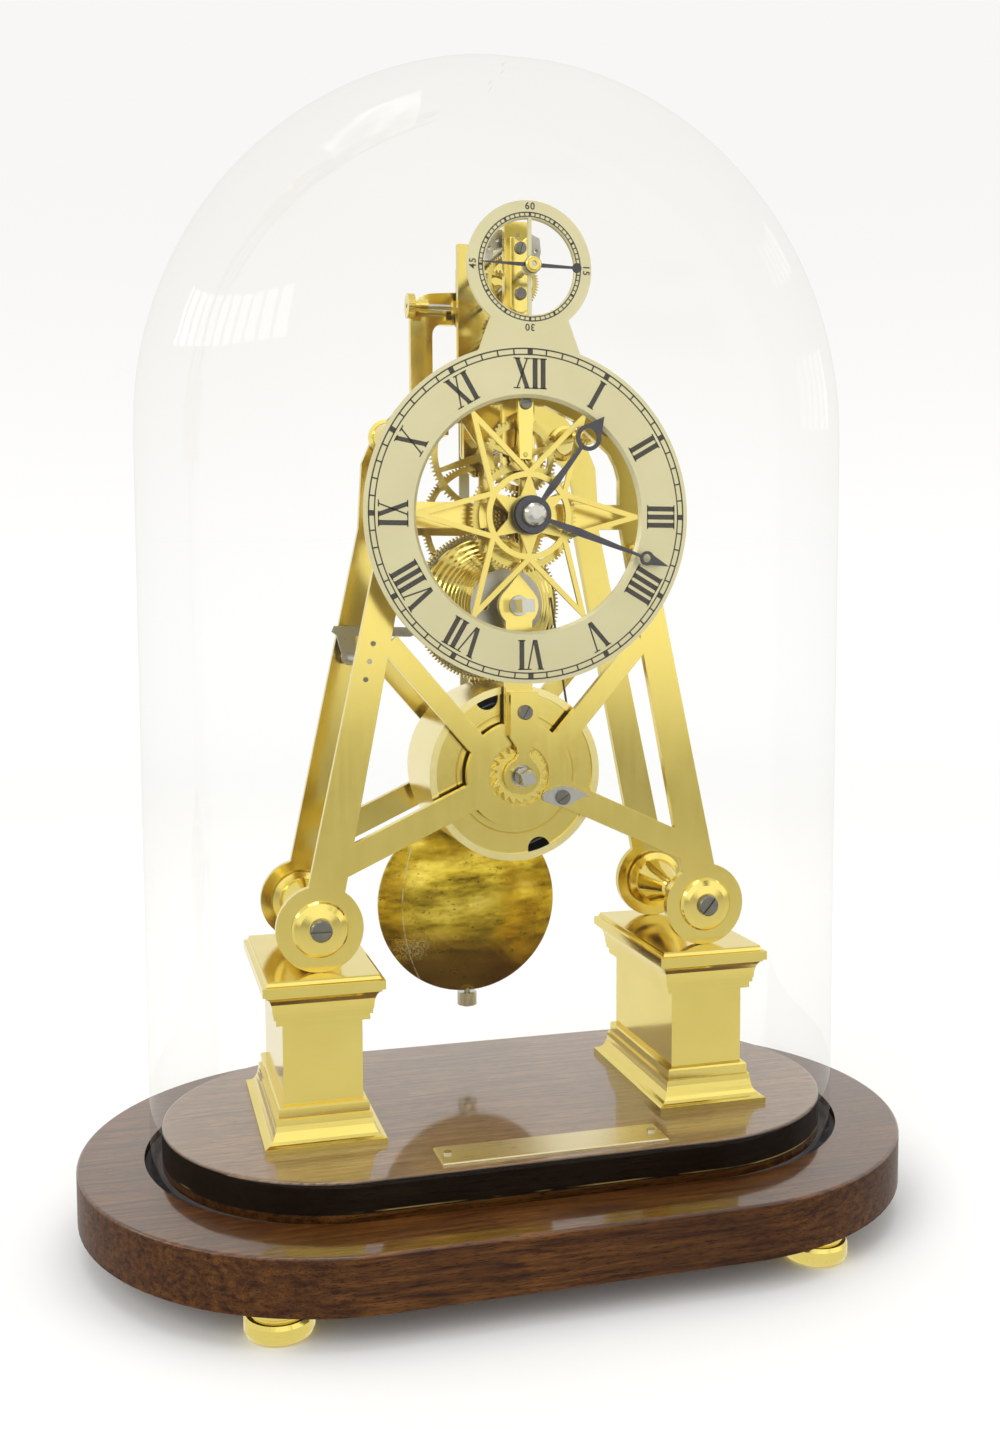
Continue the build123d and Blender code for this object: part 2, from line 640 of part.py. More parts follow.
# Detent of the maintaining power, on its own arbor in the left legs.
with BuildPart() as detent:
    with BuildSketch(front(great_f + 2.5)):
        with BuildLine():
            Polyline((-57.3, 212.5), (-59.6, 221.0), (-61.5, 222.4), (-60.5, 224.6), (-55.0, 224.4),
                     (-28.3, 223.8), (-26.95, 222.2), (-31.0, 220.2), (-52.5, 220.8), (-52.1, 212.5),
                     close=True)
        make_face()
        with Locations((detent_x, detent_z)):
            Circle(3.0)
    extrude(amount=1.3)
    add(turned(steps((-plate_f, -gap_f + 0.2, pivot_r), (-gap_f + 0.2, gap_f - 0.2, 1.5),
                     (gap_f - 0.2, plate_f, pivot_r)), detent_x, detent_z))
write(detent, "detent")

# Gut line from the barrel to the big end of the fusee: one straight tangent run.
with BuildPart() as gut_line:
    line_r, fusee_grip, drum_grip = 0.45, 24.7, drum_r + 0.55
    lean = asin((drum_grip - fusee_grip) / (fusee_z - barrel_z))
    top = (fusee_grip * cos(lean), 11.6, fusee_z + fusee_grip * sin(lean))
    low = (drum_grip * cos(lean), 8.0, barrel_z + drum_grip * sin(lean))
    with BuildLine():
        Line(top, low)
    with BuildSketch(Plane(origin=top, z_dir=tuple(b - a for a, b in zip(top, low)))):
        Circle(line_r)
    sweep()
write(gut_line, "gut_line")

# ==== going train ============================================================================

# Each arbor is one turned piece with its pinion leaves; front pivots carry on where needed.
with BuildPart() as centre_arbor:
    add(turned(steps((-plate_f - 0.6, -gap_f + 0.3, 1.2), (-gap_f + 0.3, gap_f - 0.3, 1.7),
                     (gap_f - 0.3, 48.6, 1.5)), 0, centre_z))
    add(pinion(centre_z, great_f - 0.7, 3.2, 10, m_great, -90 + 18))
    add(turned([(centre_f - 1.4, 1.7), (centre_f - 1.4, 3.4), (centre_f, 3.4), (centre_f, 1.7)], 0, centre_z))
write(centre_arbor, "centre_arbor")

with BuildPart() as centre_wheel:
    add(wheel(centre_z, centre_f, 1.4, 108, m_centre, 90, 1.7, 5.0, 2.2, 5, turn=20))
write(centre_wheel, "centre_wheel")

with BuildPart() as third_arbor:
    add(turned(steps((-plate_f, -gap_f + 0.3, pivot_r), (-gap_f + 0.3, gap_f - 0.3, 1.5),
                     (gap_f - 0.3, plate_f, pivot_r)), 0, third_z))
    add(pinion(third_z, centre_f - 0.7, 2.8, 12, m_centre, -90 + 15))
    add(turned([(third_f - 2.4, 1.5), (third_f - 2.4, 3.4), (third_f, 3.4), (third_f, 1.5)], 0, third_z))
write(third_arbor, "third_arbor")

with BuildPart() as third_wheel:
    add(wheel(third_z, third_f, 1.4, 90, m_third, 90, 1.5, 4.6, 2.2, 5, turn=55))
write(third_wheel, "third_wheel")

with BuildPart() as fourth_wheel:
    add(turned(steps((-plate_f, -gap_f + 0.3, pivot_r), (-gap_f + 0.3, gap_f - 0.3, 1.5),
                     (gap_f - 0.3, plate_f, pivot_r)), 0, fourth_z))
    add(pinion(fourth_z, third_f - 0.7, 2.8, 18, m_third, -90 + 10))
    add(turned([(fourth_f - 1.6, 1.5), (fourth_f - 1.6, 3.2), (fourth_f, 3.2), (fourth_f, 1.5)], 0, fourth_z))
    add(wheel(fourth_z, fourth_f, 1.4, 48, m_fourth, 90 + 3.75, 1.5, 4.0, 1.6, 0))
write(fourth_wheel, "fourth_wheel")

with BuildPart() as idler_wheel:
    add(turned(steps((-plate_f, -gap_f + 0.3, pivot_r), (-gap_f + 0.3, gap_f - 0.3, 1.3),
                     (gap_f - 0.3, plate_f, pivot_r)), 0, idler_z))
    add(wheel(idler_z, fourth_f - 0.3, 2.0, 26, m_fourth, 90, 1.3, 3.0, 1.4, 0))
write(idler_wheel, "idler_wheel")

with BuildPart() as seconds_arbor:
    add(turned(steps((-plate_f, -gap_f + 0.3, pivot_r), (-gap_f + 0.3, gap_f - 0.3, 1.3),
                     (gap_f - 0.3, 47.0, 1.0)), 0, seconds_z))
    add(turned([(escape_f - 1.4, 1.3), (escape_f - 1.4, 2.6), (escape_f, 2.6), (escape_f, 1.3)],
               0, seconds_z))
write(seconds_arbor, "seconds_arbor")

with BuildPart() as seconds_wheel:
    add(wheel(seconds_z, fourth_f, 1.4, 36, m_fourth, -90 + 5, 1.3, 3.0, 1.6, 4, turn=45))
write(seconds_wheel, "seconds_wheel")

# Sixty fine raked teeth on five slender spokes.
with BuildPart() as escape_wheel:
    rake = []
    for i in range(60):
        a = radians(i * 6.0 + 3)
        rake += [(r * cos(a + lead), seconds_z + r * sin(a + lead))
                 for r, lead in ((9.0, -0.06), (9.0, -0.022), (10.0, 0.0))]
    with BuildSketch(front(escape_f)):
        with BuildLine():
            Polyline(*rake, close=True)
        make_face()
        with Locations((0, seconds_z)):
            Circle(7.8, mode=Mode.SUBTRACT)
            Circle(2.8)
        for k in range(5):
            a = radians(18 + 72 * k)
            with BuildLine():
                Polyline(*arm((0, seconds_z), (8.2 * cos(a), seconds_z + 8.2 * sin(a)), 1.5, 0.8), close=True)
            make_face()
        with Locations((0, seconds_z)):
            Circle(1.3, mode=Mode.SUBTRACT)
    extrude(amount=1.0)
write(escape_wheel, "escape_wheel")

with BuildPart() as seconds_cock:
    with BuildSketch(front(plate_f)):
        with Locations((0, (338.4 + 361.0) / 2)):
            Rectangle(7.4, 361.0 - 338.4)
        with Locations((0, 338.4)):
            Circle(3.7)
        with Locations((0, seconds_z)):
            Circle(1.05, mode=Mode.SUBTRACT)
        with Locations((0, seconds_z - 6.6), (0, seconds_z + 9.2)):
            Circle(1.3, mode=Mode.SUBTRACT)
        with Locations((0, pallet_z)):
            Circle(2.6, mode=Mode.SUBTRACT)
    extrude(amount=3.0)
    chamfer(seconds_cock.faces().sort_by(Axis.Y)[0].outer_wire().edges(), 0.4)
write(seconds_cock, "seconds_cock")

# ==== motion work ============================================================================

with BuildPart() as cannon_pinion:
    add(wheel(centre_z, 29.2, 1.4, 36, m_motion, 90, 1.5, 3.0, 2.0, 0))
    add(turned([(30.6, 1.5), (30.6, 2.6), (46.4, 2.6), (46.4, 1.5)], 0, centre_z))
write(cannon_pinion, "cannon_pinion")

with BuildPart() as minute_wheel:
    add(wheel(motion_z, 29.2, 1.4, 54, m_motion, -90 + 180 / 54, 0.8, 4.0, 2.0, 5, turn=18))
    add(pinion(motion_z, 30.6, 4.2, 10, m_motion, -90 + 18))
    add(turned(steps((gap_f + 0.4, 29.2, pivot_r), (29.2, 35.0, 1.2), (35.0, 37.4, pivot_r)), 0, motion_z))
write(minute_wheel, "minute_wheel")

with BuildPart() as hour_wheel:
    add(wheel(centre_z, 32.6, 1.4, 80, m_motion, 90, 2.65, 5.2, 2.2, 6, turn=30))
    add(turned([(31.4, 2.65), (31.4, 3.6), (44.6, 3.6), (44.6, 2.65)], 0, centre_z))
write(hour_wheel, "hour_wheel")

# Tapered cock that carries the front pivot of the minute wheel.
with BuildPart() as motion_cock:
    with BuildSketch(front(35.4)):
        with BuildLine():
            Polyline((-2.9, 305.6), (2.9, 305.6), (2.2, motion_z - 1.6), (-2.2, motion_z - 1.6), close=True)
        make_face()
        with Locations((0, motion_z)):
            Circle(hole, mode=Mode.SUBTRACT)
    extrude(amount=1.6)
    with BuildSketch(front(plate_f)):
        with Locations((0, 302.6)):
            Rectangle(5.8, 6.0)
    extrude(amount=35.4 - plate_f)
    with BuildSketch(front(plate_f)):
        with Locations((0, 302.6)):
            Circle(1.3)
    extrude(amount=12, mode=Mode.SUBTRACT)
write(motion_cock, "motion_cock")

# ==== dial and hands =========================================================================

# One silvered plate: chapter ring, neck, seconds ring and the bar across the seconds opening.
with BuildPart() as chapter_ring:
    with BuildSketch(front(dial_f)):
        with Locations((0, centre_z)):
            Circle(ring_r)
        with Locations((0, seconds_z)):
            Circle(sec_r)
        with BuildLine():
            Polyline(*mirrored([(18.6, 314.0), (18.2, 319.2), (13.6, 331.6)]), close=True)
        make_face()
        with Locations((0, centre_z)):
            Circle(ring_in, mode=Mode.SUBTRACT)
        with Locations((0, seconds_z)):
            Circle(sec_in, mode=Mode.SUBTRACT)
            Circle(2.7)
        for s in (1, -1):
            with Locations((0, seconds_z + s * (sec_in + 2) / 2)):
                Rectangle(1.2, sec_in - 1)
        with Locations((0, seconds_z)):
            Circle(1.3, mode=Mode.SUBTRACT)
    extrude(amount=dial_t)
    rims = chapter_ring.edges().filter_by(GeomType.CIRCLE).group_by(Axis.Y)[0]
    chamfer(rims.filter_by(lambda e: abs(e.radius - ring_in) < 0.01), 1.1)
    chamfer(chapter_ring.edges().filter_by(GeomType.CIRCLE).group_by(Axis.Y)[0]
            .filter_by(lambda e: abs(e.radius - sec_in) < 0.01), 0.4)
write(chapter_ring, "chapter_ring")

# Six-pointed pierced star behind the ring, with an inner ring and six pointed spokes.
with BuildPart() as star_bridge:
    tip_r, valley_r, band = 43.0, 16.2, 1.8
    half_angle = atan2(valley_r * 0.5, tip_r - valley_r * cos(radians(30)))
    inner_tip = tip_r - band / sin(half_angle)
    with BuildSketch(front(dial_f - star_t)):
        points = []
        for i in range(12):
            a, r = radians(30 * i), tip_r if i % 2 == 0 else valley_r
            points.append((r * cos(a), centre_z + r * sin(a)))
        with BuildLine():
            Polyline(*points, close=True)
        make_face()
        for i in range(6):
            a = radians(60 * i)
            spread = (inner_tip - 12.0) * sin(half_angle) / cos(half_angle)
            window = [(inner_tip, 0), (12.0, spread), (12.0, -spread)]
            with BuildLine():
                Polyline(*[(u * cos(a) - v * sin(a), centre_z + u * sin(a) + v * cos(a)) for u, v in window],
                         close=True)
            make_face(mode=Mode.SUBTRACT)
        with Locations((0, centre_z)):
            Circle(15.4)
            Circle(13.4, mode=Mode.SUBTRACT)
            Circle(7.4)
        for i in range(6):
            a = radians(60 * i + 30)
            spoke = [(5.0, 3.6), (13.9, 0.45), (13.9, -0.45), (5.0, -3.6)]
            with BuildLine():
                Polyline(*[(u * cos(a) - v * sin(a), centre_z + u * sin(a) + v * cos(a)) for u, v in spoke],
                         close=True)
            make_face()
        with Locations((0, centre_z)):
            Circle(4.2, mode=Mode.SUBTRACT)
    extrude(amount=star_t)
write(star_bridge, "star_bridge")

with BuildPart() as dial_pillars:
    for x, z in dial_posts:
        add(turned([(gap_f - 2.4, 0), (gap_f - 2.4, 1.25), (plate_f, 1.25), (plate_f, 2.4),
                    (plate_f + 1.2, 2.4), (plate_f + 1.6, 1.7), (dial_f - 1.6, 1.7),
                    (dial_f - 1.2, 2.3), (dial_f, 2.3), (dial_f, 0)], x, z))
write(dial_pillars, "dial_pillars")


def hand(f, t, clock_deg, hub, bore, blade, ring_c, ring_o, ring_i, tip):
    """A hand drawn up the dial and turned to clock_deg: hub, blade, pierced ring, arrow tip."""
    a = radians(clock_deg)
    place = lambda u, v: (u * cos(a) + v * sin(a), centre_z - u * sin(a) + v * cos(a))
    with BuildPart() as body:
        with BuildSketch(front(f)):
            outline = [(w, v) for w, v in blade] + [(-w, v) for w, v in reversed(blade)]
            barb = ring_c + ring_o * 0.62
            arrow = [(-ring_o * 0.75, barb), (0, tip), (ring_o * 0.75, barb)]
            for shape in (outline, arrow):
                with BuildLine():
                    Polyline(*[place(u, v) for u, v in shape], close=True)
                make_face()
            with Locations(place(0, ring_c)):
                Circle(ring_o)
                Circle(ring_i, mode=Mode.SUBTRACT)
            with Locations((0, centre_z)):
                Circle(hub)
                Circle(bore, mode=Mode.SUBTRACT)
        extrude(amount=t)
    return body.part


with BuildPart() as hour_hand:
    add(hand(43.6, 0.9, 37.5, 6.8, 3.6, [(0.7, 6.0), (1.35, 13.5), (1.15, 17.0), (0.6, 30.2)],
             34.2, 4.6, 3.15, 43.6))
write(hour_hand, "hour_hand")

with BuildPart() as minute_hand:
    add(hand(45.5, 0.9, 109.4, 6.4, 2.6, [(0.7, 5.5), (1.4, 17.0), (1.3, 20.0), (0.42, 42.6)],
             44.6, 2.55, 1.5, 53.3))
write(minute_hand, "minute_hand")

with BuildPart() as hand_collet:
    add(turned([(46.4, 1.5), (46.4, 4.3), (47.4, 4.3), (48.6, 3.9), (49.5, 3.0), (50.0, 1.7),
                (50.1, 0), (48.6, 0), (48.6, 1.5)], 0, centre_z))
write(hand_collet, "hand_collet")

with BuildPart() as seconds_hand:
    with BuildSketch(front(45.0)):
        with BuildLine():
            Polyline((-18.4, seconds_z + 0.35), (-18.4, seconds_z + 0.15), (0, seconds_z - 0.75),
                     (14.8, seconds_z - 0.5), (17.6, seconds_z - 0.25), (17.6, seconds_z + 0.1),
                     (14.8, seconds_z + 0.3), (0, seconds_z + 0.75), close=True)
        make_face()
        with Locations((16.0, seconds_z - 0.1)):
            Circle(1.65)
        with Locations((0, seconds_z)):
            Circle(2.2)
            Circle(1.0, mode=Mode.SUBTRACT)
    extrude(amount=0.6)
    add(turned([(45.6, 1.0), (45.6, 2.9), (46.6, 2.9), (47.0, 2.3), (47.6, 2.0), (47.6, 1.0)], 0, seconds_z))
write(seconds_hand, "seconds_hand")

# ==== escapement and pendulum ================================================================

with BuildPart() as pallet_arbor:
    add(turned(steps((-50.4, gap_f - 0.3, 1.5), (gap_f - 0.3, plate_f, pivot_r)), 0, pallet_z))
write(pallet_arbor, "pallet_arbor")

# Anchor spanning fifteen and a half teeth; the nibs stand just off the teeth.
with BuildPart() as pallets:
    with BuildSketch(front(escape_f - 1.0)):
        with BuildLine():
            Polyline(*mirrored([(3.0, 359.6), (7.2, 358.8), (8.1, 355.1), (9.4, 354.7), (10.4, 358.6),
                                (9.9, 363.4), (5.0, 365.6)]), close=True)
        make_face()
        with Locations((0, pallet_z)):
            Circle(3.4)
            Circle(1.5, mode=Mode.SUBTRACT)
        with Locations((-5.9, 361.9), (5.9, 361.9)):
            Circle(0.7, mode=Mode.SUBTRACT)
        with Locations((-8.6, 359.0), (8.6, 359.0)):
            Circle(0.8, mode=Mode.SUBTRACT)
    extrude(amount=3.0)
write(pallets, "pallets")

# Brass crutch behind the back plate, its pin reaching through a slot in the pendulum rod.
crutch_f = -49.8
with BuildPart() as crutch:
    with BuildSketch(front(crutch_f)):
        with Locations((0, (pallet_z + 294.0) / 2)):
            Rectangle(5.0, pallet_z - 294.0)
        with Locations((0, 294.0)):
            Circle(2.5)
        with Locations((0, pallet_z)):
            Circle(4.0)
            Circle(1.5, mode=Mode.SUBTRACT)
    extrude(amount=2.0)
    add(turned([(-55.0, 0), (-55.0, 0.8), (crutch_f + 0.1, 0.8), (crutch_f + 0.1, 0)], 0, 295.0))
    with BuildSketch(Plane.YZ.offset(-5.6)):
        with Locations((-(crutch_f + 1.0), 352.6)):
            Rectangle(3.6, 5.0)
            Circle(0.95, mode=Mode.SUBTRACT)
    extrude(amount=3.1)
write(crutch, "crutch")

# Beat screw: a plain steel shank out to the left with a knurled brass knob.
with BuildPart() as beat_screw:
    with Locations(Location((-2.9, -(crutch_f + 1.0), 352.6), (0, -90, 0))):
        Cylinder(0.9, 19.0, align=(Align.CENTER, Align.CENTER, Align.MIN))
        with Locations((0, 0, 3.4)):
            Cylinder(1.25, 9.6, align=(Align.CENTER, Align.CENTER, Align.MIN))
write(beat_screw, "beat_screw")

with BuildPart() as beat_knob:
    with BuildSketch(Plane.YZ.offset(-24.4)):
        with Locations((-(crutch_f + 1.0), 352.6)):
            Circle(4.9)
            with PolarLocations(4.95, 36):
                Circle(0.22, mode=Mode.SUBTRACT)
            Circle(0.9, mode=Mode.SUBTRACT)
    extrude(amount=2.8)
    with BuildSketch(Plane.YZ.offset(-21.6)):
        with Locations((-(crutch_f + 1.0), 352.6)):
            Circle(2.3)
            Circle(0.9, mode=Mode.SUBTRACT)
    extrude(amount=2.2)
    with BuildSketch(Plane.YZ.offset(-19.4)):
        with Locations((-(crutch_f + 1.0), 352.6)):
            Circle(2.9)
            Circle(0.9, mode=Mode.SUBTRACT)
    extrude(amount=3.4)
write(beat_knob, "beat_knob")

# Arched cock on the back plate: foot, rising limb, arm, and the chops that grip the spring.
with BuildPart() as pendulum_bracket:
    with BuildSketch(front(-58.4)):
        with BuildLine():
            Line((-21.6, 299.0), (-21.6, 350.0))
            Spline((-21.6, 350.0), (-19.0, 356.6), (-12.0, 359.6), tangents=((0, 1), (1, 0.1)))
            Polyline((-12.0, 359.6), (-1.8, 360.4), (-1.8, 370.4), (6.4, 370.4), (6.4, 347.6), (-8.6, 347.2))
            Spline((-8.6, 347.2), (-11.2, 346.0), (-12.4, 342.6), tangents=((-1, 0), (0, -1)))
            Polyline((-12.4, 342.6), (-12.4, 299.0), (-21.6, 299.0))
        make_face()
    extrude(amount=3.2)
    with BuildSketch(front(-55.2)):
        with Locations((-17.0, 307.5)):
            Rectangle(9.2, 17.0)
    extrude(amount=55.2 - plate_f)
    with BuildSketch(front(-55.2)):
        with Locations((0, 366.2)):
            Rectangle(4.4, 7.4)
    extrude(amount=4.2)
    with BuildSketch(front(-plate_f)):
        with Locations((-17.0, 303.6), (-17.0, 311.4)):
            Circle(1.25)
    extrude(amount=-9, mode=Mode.SUBTRACT)
write(pendulum_bracket, "pendulum_bracket")

with BuildPart() as suspension_spring:
    with BuildSketch(front(pend_f - 0.1)):
        with Locations((0, (pallet_z + 353.0) / 2)):
            Rectangle(3.2, pallet_z - 353.0)
    extrude(amount=0.2)
write(suspension_spring, "suspension_spring")

# Flat rod with a clamp at the top, a slot for the crutch pin and a threaded tail.
with BuildPart() as pendulum_rod:
    with BuildSketch(front(pend_f - 0.6)):
        with Locations((0, (352.0 + 74.0) / 2)):
            Rectangle(4.2, 352.0 - 74.0)
        with Locations((0, 295.0)):
            SlotOverall(7.0, 1.8, rotation=90, mode=Mode.SUBTRACT)
    extrude(amount=1.2)
    with BuildSketch(front(pend_f - 1.3)):
        with Locations((0, 349.6)):
            Rectangle(6.2, 6.8)
    extrude(amount=2.6)
    with Locations((0, -pend_f, 62.0)):
        Cylinder(1.2, 13.0, align=(Align.CENTER, Align.CENTER, Align.MIN))
write(pendulum_rod, "pendulum_rod")

# Lenticular bob with a flat way through it for the rod.
with BuildPart() as pendulum_bob:
    lens = [(8.2 * (1 - (r / bob_r) ** 2) + 0.9, r) for r in [bob_r * i / 12 for i in range(13)]]
    outline = [(pend_f + f, r) for f, r in lens] + [(pend_f - f, r) for f, r in reversed(lens)]
    add(turned(outline, 0, bob_z))
    with BuildSketch(Plane.XY.offset(bob_z - bob_r - 2)):
        with Locations((0, -pend_f)):
            Rectangle(4.5, 1.5)
            Circle(1.3)
    extrude(amount=2 * bob_r + 4, mode=Mode.SUBTRACT)
write(pendulum_bob, "pendulum_bob")

with BuildPart() as rating_nut:
    nut_h, nut_gap = 5.4, 0.8
    with BuildSketch(Plane.XY.offset(bob_z - bob_r - nut_gap - nut_h)):
        with Locations((0, -pend_f)):
            Circle(4.1)
            with PolarLocations(4.15, 30):
                Circle(0.2, mode=Mode.SUBTRACT)
            Circle(1.25, mode=Mode.SUBTRACT)
    extrude(amount=nut_h)
write(rating_nut, "rating_nut")

# ==== screws and nuts of the fixed frame =====================================================

with BuildPart() as frame_screws:
    for x, z in pillar_seats:
        big_foot = z < 200
        seat = plate_f + (2.5 if big_foot else 0.0)
        bolt = screw(x, z, seat, 3.9 if big_foot else 3.4, 1.8, 1.5, seat - gap_f + 7.0, turn=25 + x / 3)
        add(bolt)
        add(bolt.mirror(Plane.XZ))
    for x, z, f, head_r, length, turn in ((1.0, 193.6, 31.9, 2.7, 6.3, 62),
                                          (16.1, 161.9, plate_f + 1.45, 2.7, 3.6, 35),
                                          (0, seconds_z - 6.6, plate_f + 3.0, 2.1, 5.2, 30),
                                          (0, seconds_z + 9.2, plate_f + 3.0, 2.1, 5.2, 75),
                                          (0, 302.6, 37.0, 2.2, 11.4, 10),
                                          (-17.0, 303.6, -gap_f, 2.3, 10.0, 20),
                                          (-17.0, 311.4, -gap_f, 2.3, 10.0, 50)):
        add(screw(x, z, f, head_r, 1.2, 1.15, length, turn=turn))
    # Two plain steady pins beside the detent's pivot.
    with BuildSketch(front(gap_f)):
        with Locations((detent_x + 1.4, detent_z + 6.3), (detent_x - 1.4, detent_z - 6.3)):
            Circle(0.8)
    extrude(amount=plate_t + 0.5)
    with BuildSketch(front(gap_f - 2.0)):
        with Locations(*dial_posts):
            RegularPolygon(2.9, 6)
            Circle(1.25, mode=Mode.SUBTRACT)
    extrude(amount=2.0)
write(frame_screws, "frame_screws")
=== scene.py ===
import json
import math

import bmesh
import bpy
from mathutils import Matrix, Vector


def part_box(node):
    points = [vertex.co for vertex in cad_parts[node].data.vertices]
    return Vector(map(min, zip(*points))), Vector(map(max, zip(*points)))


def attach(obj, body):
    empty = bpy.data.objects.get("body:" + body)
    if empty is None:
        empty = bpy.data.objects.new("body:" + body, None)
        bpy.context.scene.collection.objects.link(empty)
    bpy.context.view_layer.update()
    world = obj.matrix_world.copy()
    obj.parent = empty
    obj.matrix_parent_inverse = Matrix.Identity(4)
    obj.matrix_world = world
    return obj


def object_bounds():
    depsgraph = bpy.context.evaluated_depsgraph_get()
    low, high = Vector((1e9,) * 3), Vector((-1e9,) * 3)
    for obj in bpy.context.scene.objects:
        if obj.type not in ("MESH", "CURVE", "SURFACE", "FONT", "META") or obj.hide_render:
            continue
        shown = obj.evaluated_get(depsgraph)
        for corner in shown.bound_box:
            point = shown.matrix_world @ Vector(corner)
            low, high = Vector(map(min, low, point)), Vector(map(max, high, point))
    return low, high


# Looks of the skeleton clock: materials for every CAD node, the dial's filled figures and
# tracks as thin solids, a studio and a camera.  Metres, +Z up, the dial faces -Y.
# Materials work in millimetres: Nodes.place gives them object coordinates in that unit.

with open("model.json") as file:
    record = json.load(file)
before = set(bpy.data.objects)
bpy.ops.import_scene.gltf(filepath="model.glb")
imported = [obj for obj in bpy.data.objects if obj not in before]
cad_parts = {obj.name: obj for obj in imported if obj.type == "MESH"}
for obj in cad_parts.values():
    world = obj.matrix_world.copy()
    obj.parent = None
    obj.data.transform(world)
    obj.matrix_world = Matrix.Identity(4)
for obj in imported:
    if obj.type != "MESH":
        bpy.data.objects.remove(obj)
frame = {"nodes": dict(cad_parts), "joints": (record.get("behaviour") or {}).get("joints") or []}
cad_low, cad_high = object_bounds()
nodes = frame["nodes"]
MM = 0.001


def joint_place(name):
    """The point a joint turns about, in metres."""
    return next(Vector(j["pos_m"]) for j in frame["joints"] if j["name"] == name)


dial_centre = joint_place("hands_spin")
seconds_centre = joint_place("seconds_spin")
barrel_centre = joint_place("barrel_spin")
bob_centre = sum(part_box("pendulum_bob"), Vector()) / 2
dial_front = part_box("chapter_ring")[0].y
dome_middle = sum(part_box("glass_dome"), Vector()) / 2

# ---- node helpers ---------------------------------------------------------------------------


